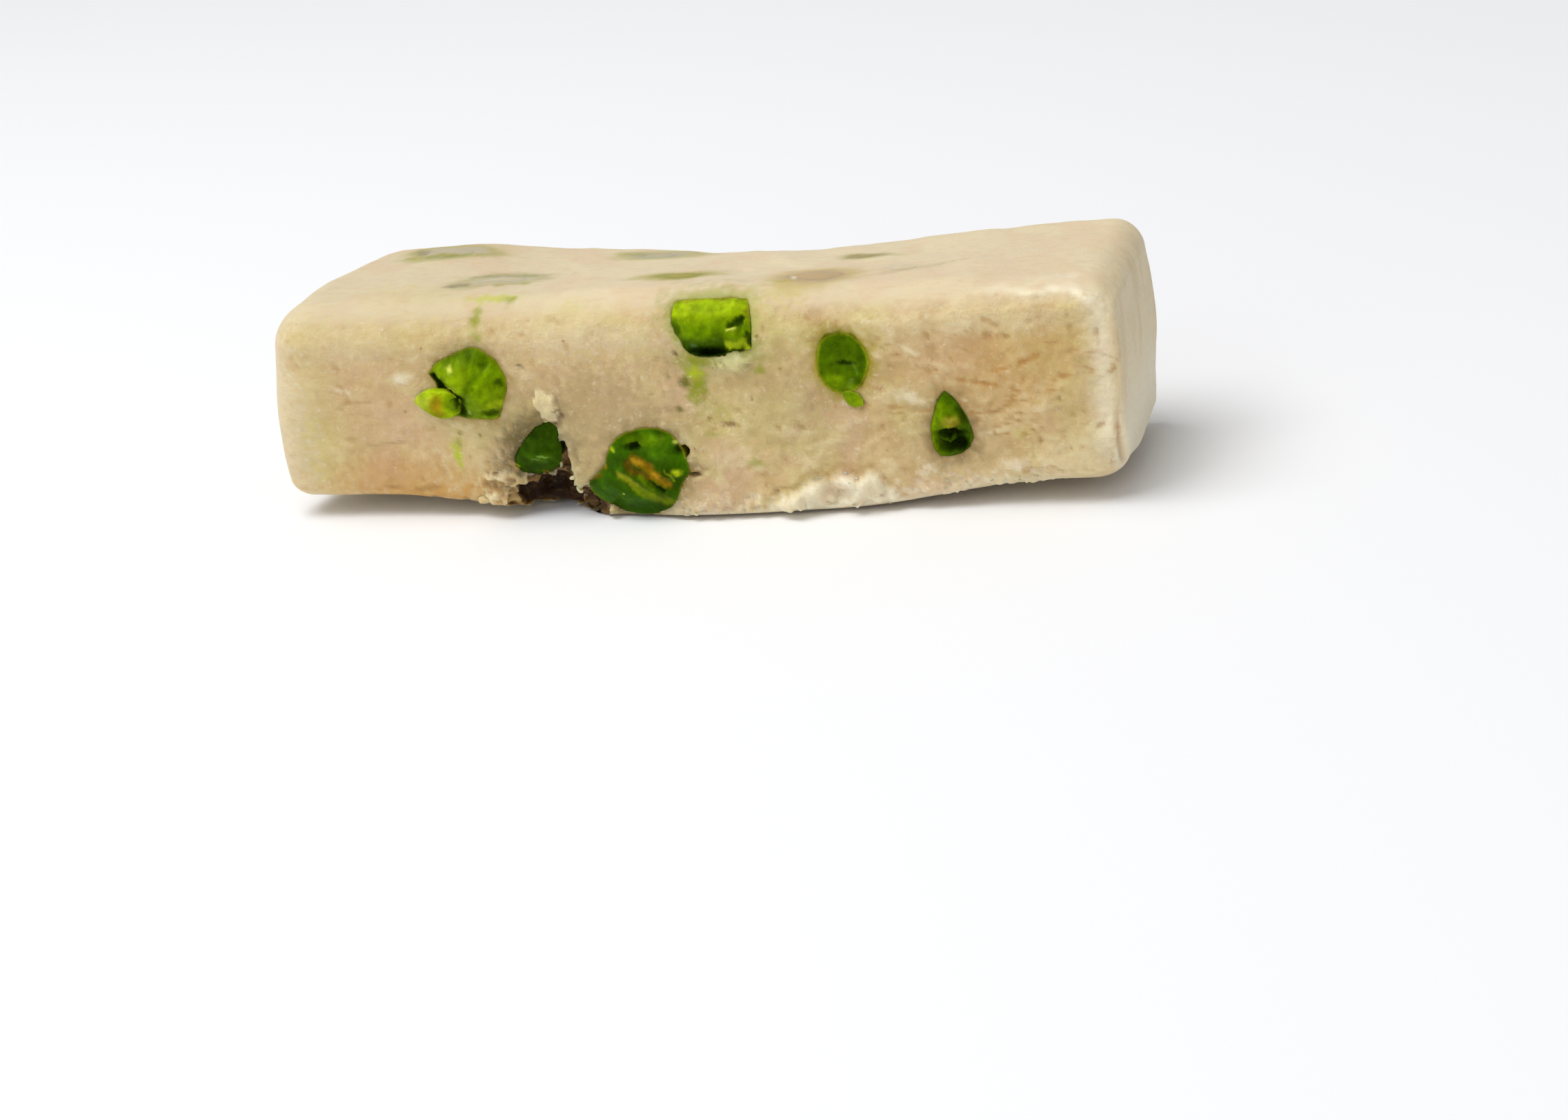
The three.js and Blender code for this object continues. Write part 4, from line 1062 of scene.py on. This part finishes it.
def other_face(seed):
    def finish(f):
        f.fill(LEAF_DEEP)
        f.wash(LEAF, clamp01(0.5 + 1.2 * cloud(f.flat, 2.6, 2, seed)))
        f.raised = f.raised + 0.4 * cloud(f.flat, 3, 3, seed + 4)
        slope = 0.3 * math.sin(seed)
        f.stroke(LEAF_DARK, [(-3, -3 * slope), (0, 0.4), (2.6, 2.6 * slope)], 0.4, 0.6, -0.4)
        f.stroke(HEART, [(-1.6, 0.9 - slope), (0.2, 1.1), (1.6, 0.7 + slope)], 0.35, 0.6 * (seed % 2), -0.1)
        f.dab(LEAF_BRIGHT, (-1.6, -1.4, 1.3, 0.8, 0.5, 20, 0.2))
        f.dab(LEAF_DARK, (2.4, -1.2, 0.8, 0.6, 0.7, 0, -0.4))
        # A painted highlight
        f.dab(PALE_LIME, (1, 1.8, 0.3, 0.2, 0.7))
        f.rim(OLIVE, 0.93, 0.6)
    return finish


def veiled_face(skin_points, skin_tint):
    """A kernel under its film of nougat takes the stain of the skin that lies over it."""
    tree = KDTree(len(skin_points))
    for i, point in enumerate(skin_points.tolist()):
        tree.insert(point, i)
    tree.balance()

    def finish(f):
        over = f.k.world(np.stack([f.u, f.v, f.k.surface(f.u, f.v)], -1))
        f.tint = skin_tint[[tree.find(point)[1] for point in over.tolist()]]
    return finish


FACES_OF = {
    DOMED: domed_face, SUNKEN: sunken_face, BROKEN: broken_face, BARREL: barrel_face, OVAL: oval_face,
    HOLLOW: hollow_face,
}

nougat_points, nougat_tint, nougat_front = nougat_bar()
crumbs(nougat_front)
for k in OPEN:
    if k in FACES_OF:
        kernel_piece(k, FACES_OF[k], FINE)
    else:
        kernel_piece(k, other_face(k.seed), MEDIUM)
under_film = veiled_face(nougat_points, nougat_tint)
for k in FLUSH:
    kernel_piece(k, under_film, COARSE)
# The flap and the chip lie on flat ground, the flap's a little sloped
for k, finish, slope in ((FLAP, flap_face, -0.12), (CHIP, chip_face, 0)):
    k.lie = np.array([0, slope, 0, 0, 0, 0])
    kernel_piece(k, finish, COARSE, replaced=False)


# Floor, light and camera

def floor():
    bm = bmesh.new()
    bmesh.ops.create_grid(bm, x_segments=2, y_segments=2, size=3.0)
    mesh = mesh_of(bm, "floor")
    material = bpy.data.materials.new("matt_white_table")
    material.use_nodes = True
    tree = material.node_tree
    feed(tree, tree.nodes["Principled BSDF"], Base_Color=(0.9, 0.905, 0.92, 1), Roughness=0.9,
         Specular_IOR_Level=0.1)
    mesh.materials.append(material)
    table = new_object("floor", mesh)
    table.location.z = -0.0002


def softbox(name, at, aim, size, watts):
    data = bpy.data.lights.new(name, "AREA")
    data.shape, data.size, data.energy = "SQUARE", size, watts
    lamp = new_object(name, data)
    lamp.location = at
    lamp.rotation_euler = (Vector(aim) - Vector(at)).to_track_quat("-Z", "Y").to_euler()


def camera():
    azimuth, elevation, roll = math.radians(16.04), math.radians(21.96), -6.91
    away = Vector((math.sin(azimuth) * math.cos(elevation), -math.cos(azimuth) * math.cos(elevation),
                   math.sin(elevation)))
    right = Vector((math.cos(azimuth), math.sin(azimuth), 0))
    right, up = turned(right, away.cross(right), roll)
    at = (Vector((108.204, -357.559, 137.942)) - Vector(MIDDLE)) * MM
    data = bpy.data.cameras.new("camera")
    data.lens, data.sensor_width, data.sensor_fit = 75.0, 36.0, "HORIZONTAL"
    data.clip_start, data.clip_end = 0.01, 20
    eye = new_object("camera", data)
    eye.matrix_world = Matrix.Translation(at) @ Matrix((right, up, away)).transposed().to_4x4()
    bpy.context.scene.camera = eye


floor()
softbox("overhead_softbox", (-0.3, -0.2, 0.9), (0, 0, 0), 0.7, 7.6)
softbox("front_fill", (-0.3, -1.0, 0.5), (0, 0, 0.01), 0.8, 1.65)
world = bpy.data.worlds.new("studio")
world.use_nodes = True
feed(world.node_tree, world.node_tree.nodes["Background"], Color=(1, 1, 1, 1), Strength=0.4)
bpy.context.scene.world = world
bpy.context.scene.view_settings.view_transform = "Standard"
camera()
